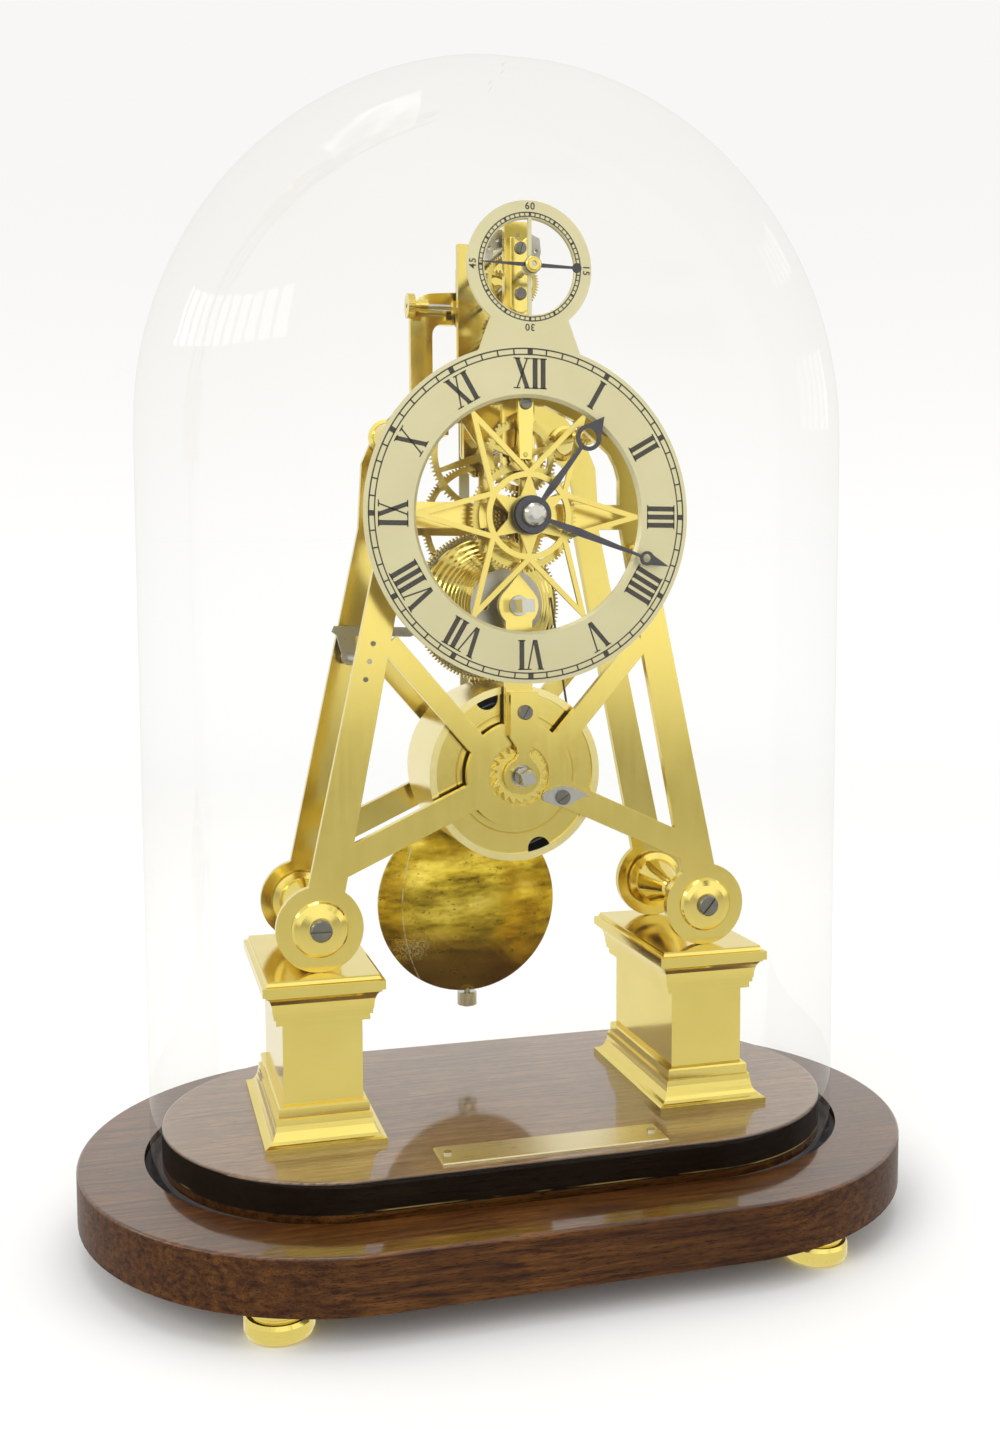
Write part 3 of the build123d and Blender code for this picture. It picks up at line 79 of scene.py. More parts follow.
class Nodes:
    """Short calls for building one node tree."""

    def __init__(self, name):
        self.material = bpy.data.materials.new(name)
        self.material.use_nodes = True
        self.tree = self.material.node_tree
        self.tree.nodes.clear()
        self.out = self.tree.nodes.new("ShaderNodeOutputMaterial")

    def add(self, kind, inputs=None, **settings):
        """A shader node with its properties set and its inputs set or linked."""
        node = self.tree.nodes.new("ShaderNode" + kind)
        for key, value in settings.items():
            setattr(node, key, value)
        for key, value in (inputs or {}).items():
            self.set(node.inputs[key], value)
        return node

    def set(self, socket, value):
        """Links the socket to a node or another socket, or gives it a plain value."""
        if isinstance(value, bpy.types.NodeSocket):
            self.tree.links.new(value, socket)
        elif isinstance(value, bpy.types.Node):
            self.tree.links.new(value.outputs[0], socket)
        else:
            socket.default_value = value

    def place(self, centre=(0, 0, 0), scale=(1, 1, 1)):
        """Object coordinates in millimetres about centre, stretched by scale."""
        coordinates = self.add("TexCoord").outputs["Object"]
        moved = self.add("VectorMath", {0: coordinates, 1: tuple(-c for c in centre)}, operation="ADD")
        sized = self.add("VectorMath", {0: moved, "Scale": 1 / MM}, operation="SCALE")
        return self.add("Mapping", {"Vector": sized, "Scale": scale}, vector_type="POINT")

    def axis(self, letter, centre=(0, 0, 0)):
        """One of the object coordinates in millimetres, counted from centre."""
        return self.add("SeparateXYZ", {0: self.place(centre)}).outputs[letter]

    def radius(self, centre):
        """Distance in millimetres from the line along Y through centre."""
        xyz = self.add("SeparateXYZ", {0: self.place(centre)}).outputs
        square = self.math("ADD", self.math("MULTIPLY", xyz["X"], xyz["X"]),
                           self.math("MULTIPLY", xyz["Z"], xyz["Z"]))
        return self.math("SQRT", square)

    def length(self, vector):
        """The vector's length."""
        return self.add("VectorMath", {0: vector}, operation="LENGTH").outputs["Value"]

    def math(self, operation, a, b=0.0):
        """One step of arithmetic on sockets or numbers."""
        return self.add("Math", {0: a, 1: b}, operation=operation).outputs[0]

    def product(self, *values):
        """All the values multiplied together."""
        result = values[0]
        for value in values[1:]:
            result = self.math("MULTIPLY", result, value)
        return result

    def between(self, value, low, high):
        """1 where value lies between low and high, else 0."""
        return self.product(self.math("GREATER_THAN", value, low), self.math("LESS_THAN", value, high))

    def fade(self, value, start, end, smooth=False):
        """Runs from 0 at start to 1 at end."""
        kind = "SMOOTHSTEP" if smooth else "LINEAR"
        return self.add("MapRange", {"Value": value, "From Min": start, "From Max": end},
                        interpolation_type=kind).outputs[0]

    def noise(self, vector, scale, detail=3.0, rough=0.5):
        """Cloudy noise, 0 to 1, of scale features per millimetre."""
        return self.add("TexNoise", {"Vector": vector, "Scale": scale, "Detail": detail,
                                     "Roughness": rough}).outputs["Fac"]

    def ramp(self, factor, *stops):
        """A colour ramp; each stop is a place and a grey value or a colour."""
        node = self.add("ValToRGB", {"Fac": factor})
        ramp = node.color_ramp
        while len(ramp.elements) < len(stops):
            ramp.elements.new(0.5)
        for element, (place, colour) in zip(ramp.elements, stops):
            element.position = place
            element.color = (*colour, 1) if isinstance(colour, tuple) else (colour, colour, colour, 1)
        return node.outputs["Color"]

    def mix(self, factor, a, b, blend="MIX"):
        """A colour mix: a at factor 0, b at factor 1."""
        node = self.add("Mix", data_type="RGBA", blend_type=blend)
        for key, value in ((0, factor), (6, a), (7, b)):
            if isinstance(value, tuple):
                value = (*value, 1)
            self.set(node.inputs[key], value)
        return node.outputs[2]

    def range(self, value, low, high):
        """Maps 0..1 to low..high."""
        return self.add("MapRange", {"Value": value, "To Min": low, "To Max": high}).outputs[0]

    def bump(self, height, strength, distance, edge=0.0):
        """A bump normal; edge rounds the arrises by that many millimetres first."""
        node = self.add("Bump", {"Height": height, "Strength": strength, "Distance": distance * MM})
        if edge:
            self.set(node.inputs["Normal"], self.add("Bevel", {"Radius": edge * MM}, samples=4))
        return node

    def finish(self, shader):
        """Joins a shader to the material's output and returns the material."""
        self.tree.links.new(shader.outputs[0], self.out.inputs["Surface"])
        return self.material

    def surface(self, **inputs):
        """A Principled surface; base_color sets Base Color, coat_ior sets Coat IOR, and so on."""
        shader = self.add("BsdfPrincipled")
        for key, value in inputs.items():
            if isinstance(value, tuple) and len(value) == 3:
                value = (*value, 1)
            self.set(shader.inputs[key.replace("_", " ").title().replace("Ior", "IOR")], value)
        return self.finish(shader)


def toned(tones, share):
    """Each colour of tones times share, kept within 1."""
    return tuple(tuple(min(1, c * share) for c in tone) for tone in tones)


def link(name, data):
    """A new object in the scene that shows data."""
    thing = bpy.data.objects.new(name, data)
    bpy.context.scene.collection.objects.link(thing)
    return thing


# ---- metals ---------------------------------------------------------------------------------

BRASS = (0.84, 0.69, 0.185)
BRASS_DEEP = (0.70, 0.545, 0.105)
BRASS_PALE = (0.92, 0.81, 0.38)
STEEL = (0.56, 0.55, 0.50)


def brushed(name, colours, grain, roughness, wear=0.12, scratch=0.25, centre=(0, 0, 0), rings=0.0,
            ring_pitch=0.9, spots=0.0, edge=0.0):
    """A metal with a directional grain (a stretch per axis), tonal drift, fine specks and turned rings."""
    n = Nodes(name)
    drift = n.noise(n.place(), 0.035, 4, 0.55)
    fine = n.noise(n.place(scale=grain), 1.0, 5, 0.6)
    colour = n.mix(n.range(drift, 0.0, 1.0), colours[0], colours[1])
    colour = n.mix(n.range(fine, 0.0, wear * 2), colour, colours[2])
    if spots:
        speck = n.ramp(n.noise(n.place(), 1.4, 2, 0.7), (0.0, 0.0), (0.66, 0.0), (0.74, 1.0))
        colour = n.mix(n.math("MULTIPLY", speck, spots), colour, (0.16, 0.11, 0.03))
    height = fine
    if rings:
        wave = n.math("SINE", n.math("MULTIPLY", n.radius(centre), 2 * math.pi / ring_pitch))
        height = n.math("ADD", height, n.math("MULTIPLY", wave, rings))
    rough = n.math("ADD", n.range(fine, roughness * 0.75, roughness * 1.3), n.range(drift, -0.04, 0.05))
    return n.surface(base_color=colour, metallic=1.0, roughness=rough,
                     normal=n.bump(height, scratch, 0.03, edge))


def patina(name):
    """The bob: dulled brass, cloudy bands, clusters of pits, pale smears and a long scratch."""
    n = Nodes(name)
    cloud = n.noise(n.place(bob_centre, scale=(0.7, 1.0, 2.4)), 0.050, 8, 0.68)
    fleck = n.noise(n.place(scale=(0.7, 1, 1.3)), 0.75, 6, 0.8)
    cluster = n.ramp(n.noise(n.place(), 0.075, 3), (0.42, 0.0), (0.56, 1.0))
    base = n.ramp(cloud, (0.34, (0.13, 0.080, 0.004)), (0.45, (0.42, 0.300, 0.020)),
                  (0.53, (0.62, 0.47, 0.050)), (0.66, (0.82, 0.65, 0.12)))
    fall = n.fade(n.axis("Z", bob_centre), -8.0, -26.0)
    base = n.mix(n.math("MULTIPLY", fall, 0.75), base, (0.20, 0.125, 0.012))
    behind = n.math("GREATER_THAN", n.axis("Y", bob_centre), 0.0)
    base = n.mix(n.math("MULTIPLY", behind, 0.7), base, (0.60, 0.45, 0.055))
    pits = n.math("MULTIPLY", n.ramp(fleck, (0.0, 1.0), (0.38, 1.0), (0.42, 0.0)), cluster)
    base = n.mix(n.math("MULTIPLY", pits, 0.8), base, (0.07, 0.045, 0.012))
    smear_centre = bob_centre + Vector((-25.5, 0, -18)) * MM
    reach = n.length(n.place(smear_centre, scale=(0.10, 0.01, 0.14)))
    smear = n.math("MULTIPLY", n.ramp(reach, (0.2, 1.0), (0.95, 0.0)),
                   n.ramp(n.noise(n.place(), 1.2, 5, 0.8), (0.50, 0.0), (0.58, 1.0)))
    scratch_radius, half_width = 68.5, 0.22
    off_arc = n.math("SUBTRACT", n.radius(bob_centre + Vector((40, 0, 0)) * MM), scratch_radius)
    scratch = n.math("MULTIPLY", n.math("LESS_THAN", n.math("ABSOLUTE", off_arc), half_width),
                     n.ramp(n.noise(n.place(), 0.16, 2), (0.42, 0.0), (0.50, 0.8)))
    pale = n.math("MAXIMUM", smear, scratch)
    base = n.mix(n.math("MULTIPLY", pale, 0.7), base, (0.72, 0.70, 0.60))
    grain = n.noise(n.place(scale=(0.06, 0.06, 7.0)), 1.0, 3)
    rough = n.math("ADD", n.range(cloud, 0.34, 0.12), n.math("MULTIPLY", n.math("MAXIMUM", pits, pale), 0.3))
    return n.surface(base_color=base, metallic=n.range(pale, 1.0, 0.5), roughness=rough,
                     normal=n.bump(n.math("ADD", grain, n.math("MULTIPLY", pits, -0.8)), 0.14, 0.03))


def silvered(name):
    """Matt silvering with a fine straight grain and a scatter of tiny dark pin marks."""
    n = Nodes(name)
    grain = n.noise(n.place(scale=(0.05, 1, 9.0)), 1.0, 3)
    drift = n.noise(n.place(), 0.05, 3)
    cell = n.add("TexVoronoi", {"Vector": n.place(), "Scale": 0.42}, feature="F1").outputs["Distance"]
    pins = n.ramp(cell, (0.0, 1.0), (0.035, 1.0), (0.06, 0.0))
    patch = n.ramp(n.noise(n.place(), 0.09, 2), (0.5, 0.0), (0.62, 1.0))
    colour = n.mix(n.range(drift, 0.0, 1.0), (0.56, 0.515, 0.285), (0.66, 0.615, 0.375))
    colour = n.mix(n.range(grain, 0.0, 0.22), colour, (0.80, 0.76, 0.56))
    colour = n.mix(n.math("MULTIPLY", n.math("MULTIPLY", pins, patch), 0.75), colour, (0.20, 0.17, 0.09))
    return n.surface(base_color=colour, metallic=0.82, roughness=n.range(grain, 0.38, 0.52),
                     normal=n.bump(grain, 0.10, 0.02))


def blued(name, dark=(0.045, 0.045, 0.062), light=(0.10, 0.095, 0.095), brass_boss=0.0):
    """Blued steel; brass_boss turns the middle of the seconds hand into its brass collet."""
    n = Nodes(name)
    drift = n.noise(n.place(), 0.16, 3)
    fine = n.noise(n.place(), 2.4, 3)
    colour = n.mix(n.range(drift, 0.0, 1.0), dark, light)
    if brass_boss:
        boss = n.between(n.radius(seconds_centre), 0.55, brass_boss)
        colour = n.mix(boss, colour, n.mix(fine, BRASS_DEEP, BRASS))
    return n.surface(base_color=colour, metallic=0.9, roughness=n.range(fine, 0.22, 0.40),
                     normal=n.bump(fine, 0.08, 0.02))


# ---- wood, velvet, glass, gut ------------------------------------------------------------------


def mahogany(name, light, dark, side_polish, side_shade, polish_ior, edge_z=None):
    """French-polished mahogany: figure along the length, short dark pores, a mirror finish on top.

    side_polish weakens the lacquer of the upright faces, and the factor after it darkens their colour as
    painted shade; edge_z, in millimetres, is the height of a broken line of light wood where the finish is
    worn.
    """
    n = Nodes(name)
    wander = n.noise(n.place(scale=(0.35, 1.0, 1.0)), 0.035, 4)
    warp = n.add("VectorMath", {0: n.place(scale=(0.045, 1.0, 1.0))}, operation="ADD")
    n.set(warp.inputs[1], n.add("CombineXYZ", {"Y": n.math("MULTIPLY", wander, 9.0),
                                               "Z": n.math("MULTIPLY", wander, 4.0)}))
    grain = n.noise(warp.outputs[0], 0.55, 6, 0.62)
    ribbon = n.noise(n.place(scale=(1.0, 0.5, 0.5)), 0.022, 3, 0.6)
    pores = n.ramp(n.noise(n.place(scale=(0.28, 3.4, 3.4)), 0.9, 2, 0.5), (0.36, 1.0), (0.43, 0.0))
    flame = n.ramp(n.noise(n.place(scale=(0.5, 1.0, 1.0)), 0.055, 5, 0.7), (0.40, 0.0), (0.66, 1.0))
    mid = tuple((a + b) / 2 for a, b in zip(light, dark))
    colour = n.ramp(grain, (0.34, dark), (0.50, mid), (0.64, light))
    colour = n.mix(n.math("MULTIPLY", flame, 0.4), colour, dark)
    colour = n.mix(n.range(ribbon, -0.35, 0.85), colour, dark)
    colour = n.mix(n.math("MULTIPLY", pores, 0.75), colour, tuple(c * 0.25 for c in dark))
    # Painted shade: the upright faces get the colour multiplied by the side factor, so they are darker than
    # the top.
    upward = n.add("SeparateXYZ", {0: n.add("NewGeometry").outputs["Normal"]}).outputs["Z"]
    top = n.fade(upward, 0.2, 0.9)
    colour = n.mix(top, n.mix(1.0, colour, (side_shade, side_shade, side_shade), "MULTIPLY"), colour)
    if edge_z:
        line = n.between(n.axis("Z"), edge_z - 0.22, edge_z + 0.22)
        broken = n.ramp(n.noise(n.place(), 0.03, 3), (0.46, 0.0), (0.58, 0.65))
        colour = n.mix(n.math("MULTIPLY", line, broken), colour, (0.42, 0.30, 0.08))
    return n.surface(base_color=colour, roughness=n.range(grain, 0.30, 0.46), coat_ior=polish_ior,
                     coat_weight=n.range(top, side_polish, 1.0), coat_tint=(1.0, 0.97, 0.90),
                     coat_roughness=n.range(ribbon, 0.03, 0.12), specular_ior_level=n.range(top, 0.0, 0.3),
                     normal=n.bump(n.math("SUBTRACT", grain, n.math("MULTIPLY", pores, 0.5)), 0.10, 0.06))


def velvet(name):
    """Black pile that catches light along its edges."""
    n = Nodes(name)
    pile = n.noise(n.place(), 3.0, 4, 0.8)
    colour = n.mix(n.range(pile, 0.0, 1.0), (0.006, 0.005, 0.006), (0.030, 0.026, 0.026))
    return n.surface(base_color=colour, roughness=0.95, sheen_weight=0.35, sheen_roughness=0.4,
                     normal=n.bump(pile, 0.6, 0.3))


def dome_glass(name):
    """Thin clear glass: see-through, a little grey where it is met at a slant, with mirror highlights."""
    n = Nodes(name)
    ior, mirror_share, far_wall_loss = 1.45, 0.45, 0.85
    ripple = n.bump(n.noise(n.place(), 0.012, 2), 0.35, 1.2)
    slant = n.add("LayerWeight", {"Blend": 0.35}).outputs["Facing"]
    body = n.ramp(slant, (0.0, (0.996, 0.996, 0.992)), (0.90, (0.984, 0.984, 0.977)),
                  (1.0, (0.86, 0.865, 0.855)))
    clear = n.add("BsdfTransparent", {"Color": body})
    shine = n.add("BsdfGlossy", {"Roughness": 0.04, "Normal": ripple})
    mirror = n.add("Fresnel", {"IOR": ior, "Normal": ripple}).outputs[0]

    # Only the camera's straight view sees the shine, and it is weak on the wall behind the clock.
    path = n.add("LightPath").outputs
    other_ray = n.math("MAXIMUM", path["Is Diffuse Ray"], path["Is Glossy Ray"])
    other_ray = n.math("MAXIMUM", path["Is Shadow Ray"], other_ray)
    geometry = n.add("NewGeometry").outputs
    loss = n.math("MULTIPLY", geometry["Backfacing"], far_wall_loss * mirror_share)
    share = n.product(mirror, n.math("SUBTRACT", mirror_share, loss), n.math("SUBTRACT", 1.0, other_ray))
    outer = n.add("MixShader", {0: share, 1: clear, 2: shine})

    # The wall's inner surface adds nothing but its slight tint.
    from_middle = n.add("VectorMath", {0: geometry["Position"], 1: tuple(dome_middle)}, operation="SUBTRACT")
    outward = n.add("VectorMath", {0: from_middle, 1: geometry["Normal"]}, operation="DOT_PRODUCT")
    side = n.math("SUBTRACT", 0.5, geometry["Backfacing"])
    is_outer = n.math("GREATER_THAN", n.math("MULTIPLY", outward.outputs["Value"], side), 0.0)
    inner = n.add("BsdfTransparent", {"Color": (0.998, 0.998, 0.997, 1)})
    return n.finish(n.add("MixShader", {0: is_outer, 1: inner, 2: outer}))


def gut(name):
    """Dark twisted gut."""
    n = Nodes(name)
    twist = n.noise(n.place(scale=(1, 1, 0.6)), 2.0, 2)
    colour = n.mix(n.range(twist, 0.0, 1.0), (0.05, 0.035, 0.02), (0.17, 0.12, 0.07))
    return n.surface(base_color=colour, roughness=0.45, normal=n.bump(twist, 0.5, 0.1))


def ink(name):
    """Black wax filling of the dial's figures."""
    n = Nodes(name)
    fine = n.noise(n.place(), 1.6, 4, 0.7)
    colour = n.mix(n.range(fine, 0.0, 1.0), (0.014, 0.012, 0.008), (0.055, 0.046, 0.030))
    return n.surface(base_color=colour, roughness=n.range(fine, 0.35, 0.6), normal=n.bump(fine, 0.2, 0.02))


# ---- a material for each CAD node ----------------------------------------------------------------


def dress(material, *names):
    """Gives CAD nodes a material."""
    for name in names:
        data = nodes[name].data
        data.materials.clear()
        data.materials.append(material)


YELLOW = (BRASS_DEEP, BRASS, BRASS_PALE)
# Painted shade: the yellow brass darkened to 0.74 for the parts that sit between the plates.
SHADED_YELLOW = toned(YELLOW, 0.74)
STEELS = (*toned([STEEL], 0.8), STEEL, *toned([STEEL], 1.25))

dress(brushed("plate_brass", YELLOW, (0.5, 0.5, 0.03), 0.17, spots=0.10, edge=0.25), "front_plate")
# Painted shade: the back plate's brass is darkened to 0.85, as it stands behind the movement.
dress(brushed("back_plate_brass", toned(YELLOW, 0.85), (0.5, 0.5, 0.03), 0.13, spots=0.25, edge=0.25),
      "back_plate")
dress(brushed("ratchet_brass", YELLOW, (0.6, 0.6, 0.6), 0.26, spots=0.2, edge=0.25), "barrel_ratchet")
dress(brushed("pedestal_brass", YELLOW, (0.035, 0.5, 0.9), 0.11, spots=0.12, edge=0.1),
      "pedestal_plinths", "pedestal_dies", "pedestal_caps")
dress(brushed("turned_brass", YELLOW, (1.2, 0.08, 1.2), 0.12),
      "frame_pillars", "pillar_washers", "dial_pillars", "beat_knob")
dress(brushed("foot_brass", YELLOW, (0.4, 0.4, 2.0), 0.12, spots=0.5), "bun_feet")
dress(brushed("barrel_brass", (BRASS, BRASS_PALE, (0.93, 0.90, 0.72)), (0.5, 0.05, 0.5), 0.22, spots=0.12),
      "barrel_drum")
dress(brushed("lid_brass", YELLOW, (0.4, 1, 0.4), 0.15, centre=barrel_centre, rings=0.25, spots=0.1),
      "barrel_lid")
# The wheels and the fusee take the darkened brass: painted shade for their place between the plates.
dress(brushed("wheel_brass", SHADED_YELLOW, (0.8, 0.8, 0.8), 0.18, spots=0.3),
      "great_wheel", "centre_wheel", "third_wheel", "fourth_wheel", "idler_wheel", "seconds_wheel",
      "escape_wheel", "minute_wheel", "hour_wheel", "cannon_pinion")
dress(brushed("fusee_brass", SHADED_YELLOW, (1.5, 0.2, 1.5), 0.10), "fusee_cone")
dress(brushed("cock_brass", YELLOW, (0.6, 0.6, 0.05), 0.13, spots=0.15, edge=0.2),
      "barrel_cock", "seconds_cock", "motion_cock", "pendulum_bracket", "crutch")
dress(brushed("star_brass", YELLOW, (0.5, 0.5, 0.08), 0.30), "star_bridge")
dress(brushed("nameplate_brass", ((0.70, 0.60, 0.33), (0.78, 0.69, 0.42), (0.88, 0.82, 0.6)),
              (0.05, 2.0, 1.0), 0.28), "nameplate")
dress(patina("bob_brass"), "pendulum_bob")
dress(brushed("polished_steel", STEELS, (0.9, 0.1, 0.9), 0.20),
      "barrel_arbor", "fusee_arbor", "centre_arbor", "third_arbor", "seconds_arbor", "pallet_arbor",
      "hand_collet", "beat_screw", "suspension_spring", "rating_nut", "base_fasteners")
dress(brushed("grey_steel", toned(STEELS, 0.85), (0.6, 0.6, 0.6), 0.30, spots=0.2),
      "fusee_cap", "click", "pallets", "detent", "maintaining_ratchet")
dress(brushed("rod_steel", ((0.34, 0.33, 0.25), (0.44, 0.43, 0.33), (0.55, 0.54, 0.45)),
              (0.9, 0.9, 0.04), 0.30, spots=0.3), "pendulum_rod")
dress(blued("blued_steel"), "hour_hand", "minute_hand", "mainspring")
dress(blued("seconds_steel", brass_boss=2.75), "seconds_hand")
dress(blued("screw_steel", (0.13, 0.125, 0.11), (0.24, 0.23, 0.19)), "frame_screws")
dress(silvered("silvering"), "chapter_ring")
# The fifth argument is painted shade on the upright faces: 0.75 on the board, 0.045 (nearly black) on the
# plinth.
dress(mahogany("board_mahogany", (0.200, 0.078, 0.016), (0.034, 0.010, 0.003), 0.30, 0.75, 1.5), "base_board")
dress(mahogany("plinth_mahogany", (0.34, 0.20, 0.10), (0.12, 0.060, 0.026), 0.0, 0.045, 1.7,
               edge_z=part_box("base_plinth")[0].z / MM + 0.5), "base_plinth")
dress(velvet("groove_velvet_pile"), "groove_velvet")
dress(dome_glass("clear_dome"), "glass_dome")
dress(gut("gut_cord"), "gut_line")

# ---- figures and tracks on the dial ------------------------------------------------------------

INK_T = 0.06 * MM                    # how far the filling stands proud of the silvering
INK_SINK = 0.02 * MM                 # how far it goes into it


class Flat:
    """Collects flat outlines in the dial's plane and turns them into one thin solid."""

    def __init__(self, centre):
        self.centre, self.points, self.faces = centre, [], []

    def outline(self, corners, clock_deg=0.0):
        """corners: (across, outwards) in millimetres, anticlockwise, turned clockwise to clock_deg."""
        a = math.radians(clock_deg)
        first = len(self.points)
        for u, v in corners:
            self.points.append((u * math.cos(a) + v * math.sin(a), -u * math.sin(a) + v * math.cos(a)))
        self.faces.append(tuple(range(first, len(self.points))))

    def band(self, r_in, r_out, parts):
        """A ring as quads that share their ends."""
        first = len(self.points)
        for i in range(parts):
            a = 2 * math.pi * i / parts
            self.points += [(r * math.sin(a), r * math.cos(a)) for r in (r_in, r_out)]
        for i in range(parts):
            j = (i + 1) % parts
            self.faces.append((first + 2 * i, first + 2 * i + 1, first + 2 * j + 1, first + 2 * j))

    def solid(self, name, material):
        """The outlines as one piece on the frame, sunk a little into the silvering."""
        flat = bpy.data.meshes.new(name)
        y = dial_front + INK_SINK
        flat.from_pydata([(self.centre.x + u * MM, y, self.centre.z + v * MM) for u, v in self.points],
                         [], self.faces)
        piece = link(name, flat)
        shape = bmesh.new()
        shape.from_mesh(flat)
        bmesh.ops.recalc_face_normals(shape, faces=shape.faces)
        for face in shape.faces:
            if face.normal.y > 0:
                face.normal_flip()
        pushed = bmesh.ops.extrude_face_region(shape, geom=shape.faces[:])
        corners = [v for v in pushed["geom"] if isinstance(v, bmesh.types.BMVert)]
        bmesh.ops.translate(shape, verts=corners, vec=(0, -INK_T - INK_SINK, 0))
        bmesh.ops.recalc_face_normals(shape, faces=shape.faces)
        shape.to_mesh(flat)
        shape.free()
        flat.materials.append(material)
        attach(piece, "frame")


black = ink("dial_ink")

SERIF_T = 0.42                       # sizes of the numerals' strokes, in millimetres
THICK, THIN = 1.75, 0.55
SLANTED = THICK * 0.92               # the thick stroke of V and X
I_SERIF, SLANT_SERIF = 1.35, 1.2     # half widths
WIDTHS = {"I": 2.9, "V": 6.6, "X": 6.4}


def serif(mark, x, low, half, angle):
    """A flat bar across the end of a stroke."""
    high = low + SERIF_T
    mark.outline([(x - half, low), (x + half, low), (x + half, high), (x - half, high)], angle)


def stem(mark, x, low, high, wide, angle, lean=0.0):
    """One stroke of a numeral; lean shifts its top sideways."""
    top, half = x + lean, wide / 2
    mark.outline([(x - half, low), (x + half, low), (top + half, high), (top - half, high)], angle)


def draw_numeral(mark, text, angle, low, high):
    """A Roman numeral standing radially with its top outwards."""
    x = -sum(WIDTHS[c] for c in text) / 2
    for c in text:
        w = WIDTHS[c]
        if c == "I":
            stem(mark, x + w / 2, low, high, THICK, angle)
            for z in (low, high - SERIF_T):
                serif(mark, x + w / 2, z, I_SERIF, angle)
        elif c == "V":
            stem(mark, x + w / 2 - 0.1, low, high, SLANTED, angle, lean=-(w / 2 - 1.15))
            stem(mark, x + w / 2 + 0.35, low, high, THIN, angle, lean=w / 2 - 1.2)
            for at in (x + 1.05, x + w - 0.85):
                serif(mark, at, high - SERIF_T, SLANT_SERIF, angle)
        else:
            reach = 1.3                  # from the letter's side to the middle of a stroke's end
            stem(mark, x + w - reach, low, high, SLANTED, angle, lean=2 * reach - w)
            stem(mark, x + reach, low, high, THIN, angle, lean=w - 2 * reach)
            for at in (x + reach, x + w - reach):
                for z in (low, high - SERIF_T):
                    serif(mark, at, z, SLANT_SERIF, angle)
        x += w


NUMERAL_LOW, NUMERAL_HIGH = 43.4, 53.9
numerals = ["XII", "I", "II", "III", "IIII", "V", "VI", "VII", "VIII", "IX", "X", "XI"]
for hour, text in enumerate(numerals):
    mark = Flat(dial_centre)
    draw_numeral(mark, text, hour * 30.0, NUMERAL_LOW, NUMERAL_HIGH)
    mark.solid(f"numeral_{hour or 12}", black)


def track(name, centre, outer, inner, bars, bar_half, fifth_half, parts):
    """Two thin rings with sixty bars between them, every fifth one wider."""
    mark = Flat(centre)
    mark.band(*outer, parts=parts)
    mark.band(*inner, parts=parts)
    low, high = bars
    for k in range(60):
        half = bar_half if k % 5 else fifth_half
        mark.outline([(-half, low), (half, low), (half, high), (-half, high)], k * 6.0)
    mark.solid(name, black)


track("minute_track", dial_centre, (56.85, 57.35), (54.85, 55.3), (55.1, 57.05), 0.26, 0.95, 180)
track("seconds_track", seconds_centre, (18.05, 18.45), (16.75, 17.1), (16.95, 18.2), 0.18, 0.4, 120)

FIGURE_SIZE = 3.3 * MM
FIGURE_RADIUS = 20.3 * MM


def seconds_figure(text, clock_deg):
    """A plain number outside the seconds track, its top outwards."""
    curve = bpy.data.curves.new("figure_" + text, "FONT")
    curve.body = text
    curve.align_x, curve.align_y = "CENTER", "CENTER"
    curve.size = FIGURE_SIZE
    curve.offset = 0.06 * MM         # makes the strokes bolder
    curve.space_character = 1.15
    curve.extrude = (INK_T + INK_SINK) / 2
    curve.materials.append(black)
    piece = link("seconds_figure_" + text, curve)
    a = math.radians(clock_deg)
    place = seconds_centre + FIGURE_RADIUS * Vector((math.sin(a), 0, math.cos(a)))
    place.y = dial_front + (INK_SINK - INK_T) / 2
    piece.matrix_world = (Matrix.Translation(place) @ Matrix.Rotation(a, 4, "Y")
                          @ Matrix.Rotation(math.pi / 2, 4, "X"))
    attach(piece, "frame")


for text, clock_deg in (("60", 0), ("15", 90), ("30", 180), ("45", 270)):
    seconds_figure(text, clock_deg)

# ---- studio -------------------------------------------------------------------------------------

FLOOR_R, WALL_R, WALL_H = 1.6, 2.4, 3.2
HORIZON, BACKDROP = (1.03, 1.03, 1.025), (0.94, 0.93, 0.912)
STEPS = 96
COVE_PARTS = 10
sweep = WALL_R - FLOOR_R
profile = [(0.0, 0.0), (FLOOR_R / 2, 0.0), (FLOOR_R, 0.0)]
for k in range(1, COVE_PARTS + 1):
    a = math.pi / 2 * k / COVE_PARTS
    profile.append((FLOOR_R + sweep * math.sin(a), sweep * (1 - math.cos(a))))
profile.append((WALL_R, WALL_H))
rows = len(profile)
bowl_points, bowl_faces = [], []
for k in range(STEPS):
    a = 2 * math.pi * k / STEPS
    bowl_points += [(r * math.cos(a), r * math.sin(a), z) for r, z in profile]
    for i in range(rows - 1):
        p, q = k * rows + i, (k + 1) % STEPS * rows + i
        bowl_faces.append((p, q, q + 1, p + 1))
bowl_mesh = bpy.data.meshes.new("floor")
bowl_mesh.from_pydata(bowl_points, [], bowl_faces)
for face in bowl_mesh.polygons:
    face.use_smooth = True
bowl = link("floor", bowl_mesh)


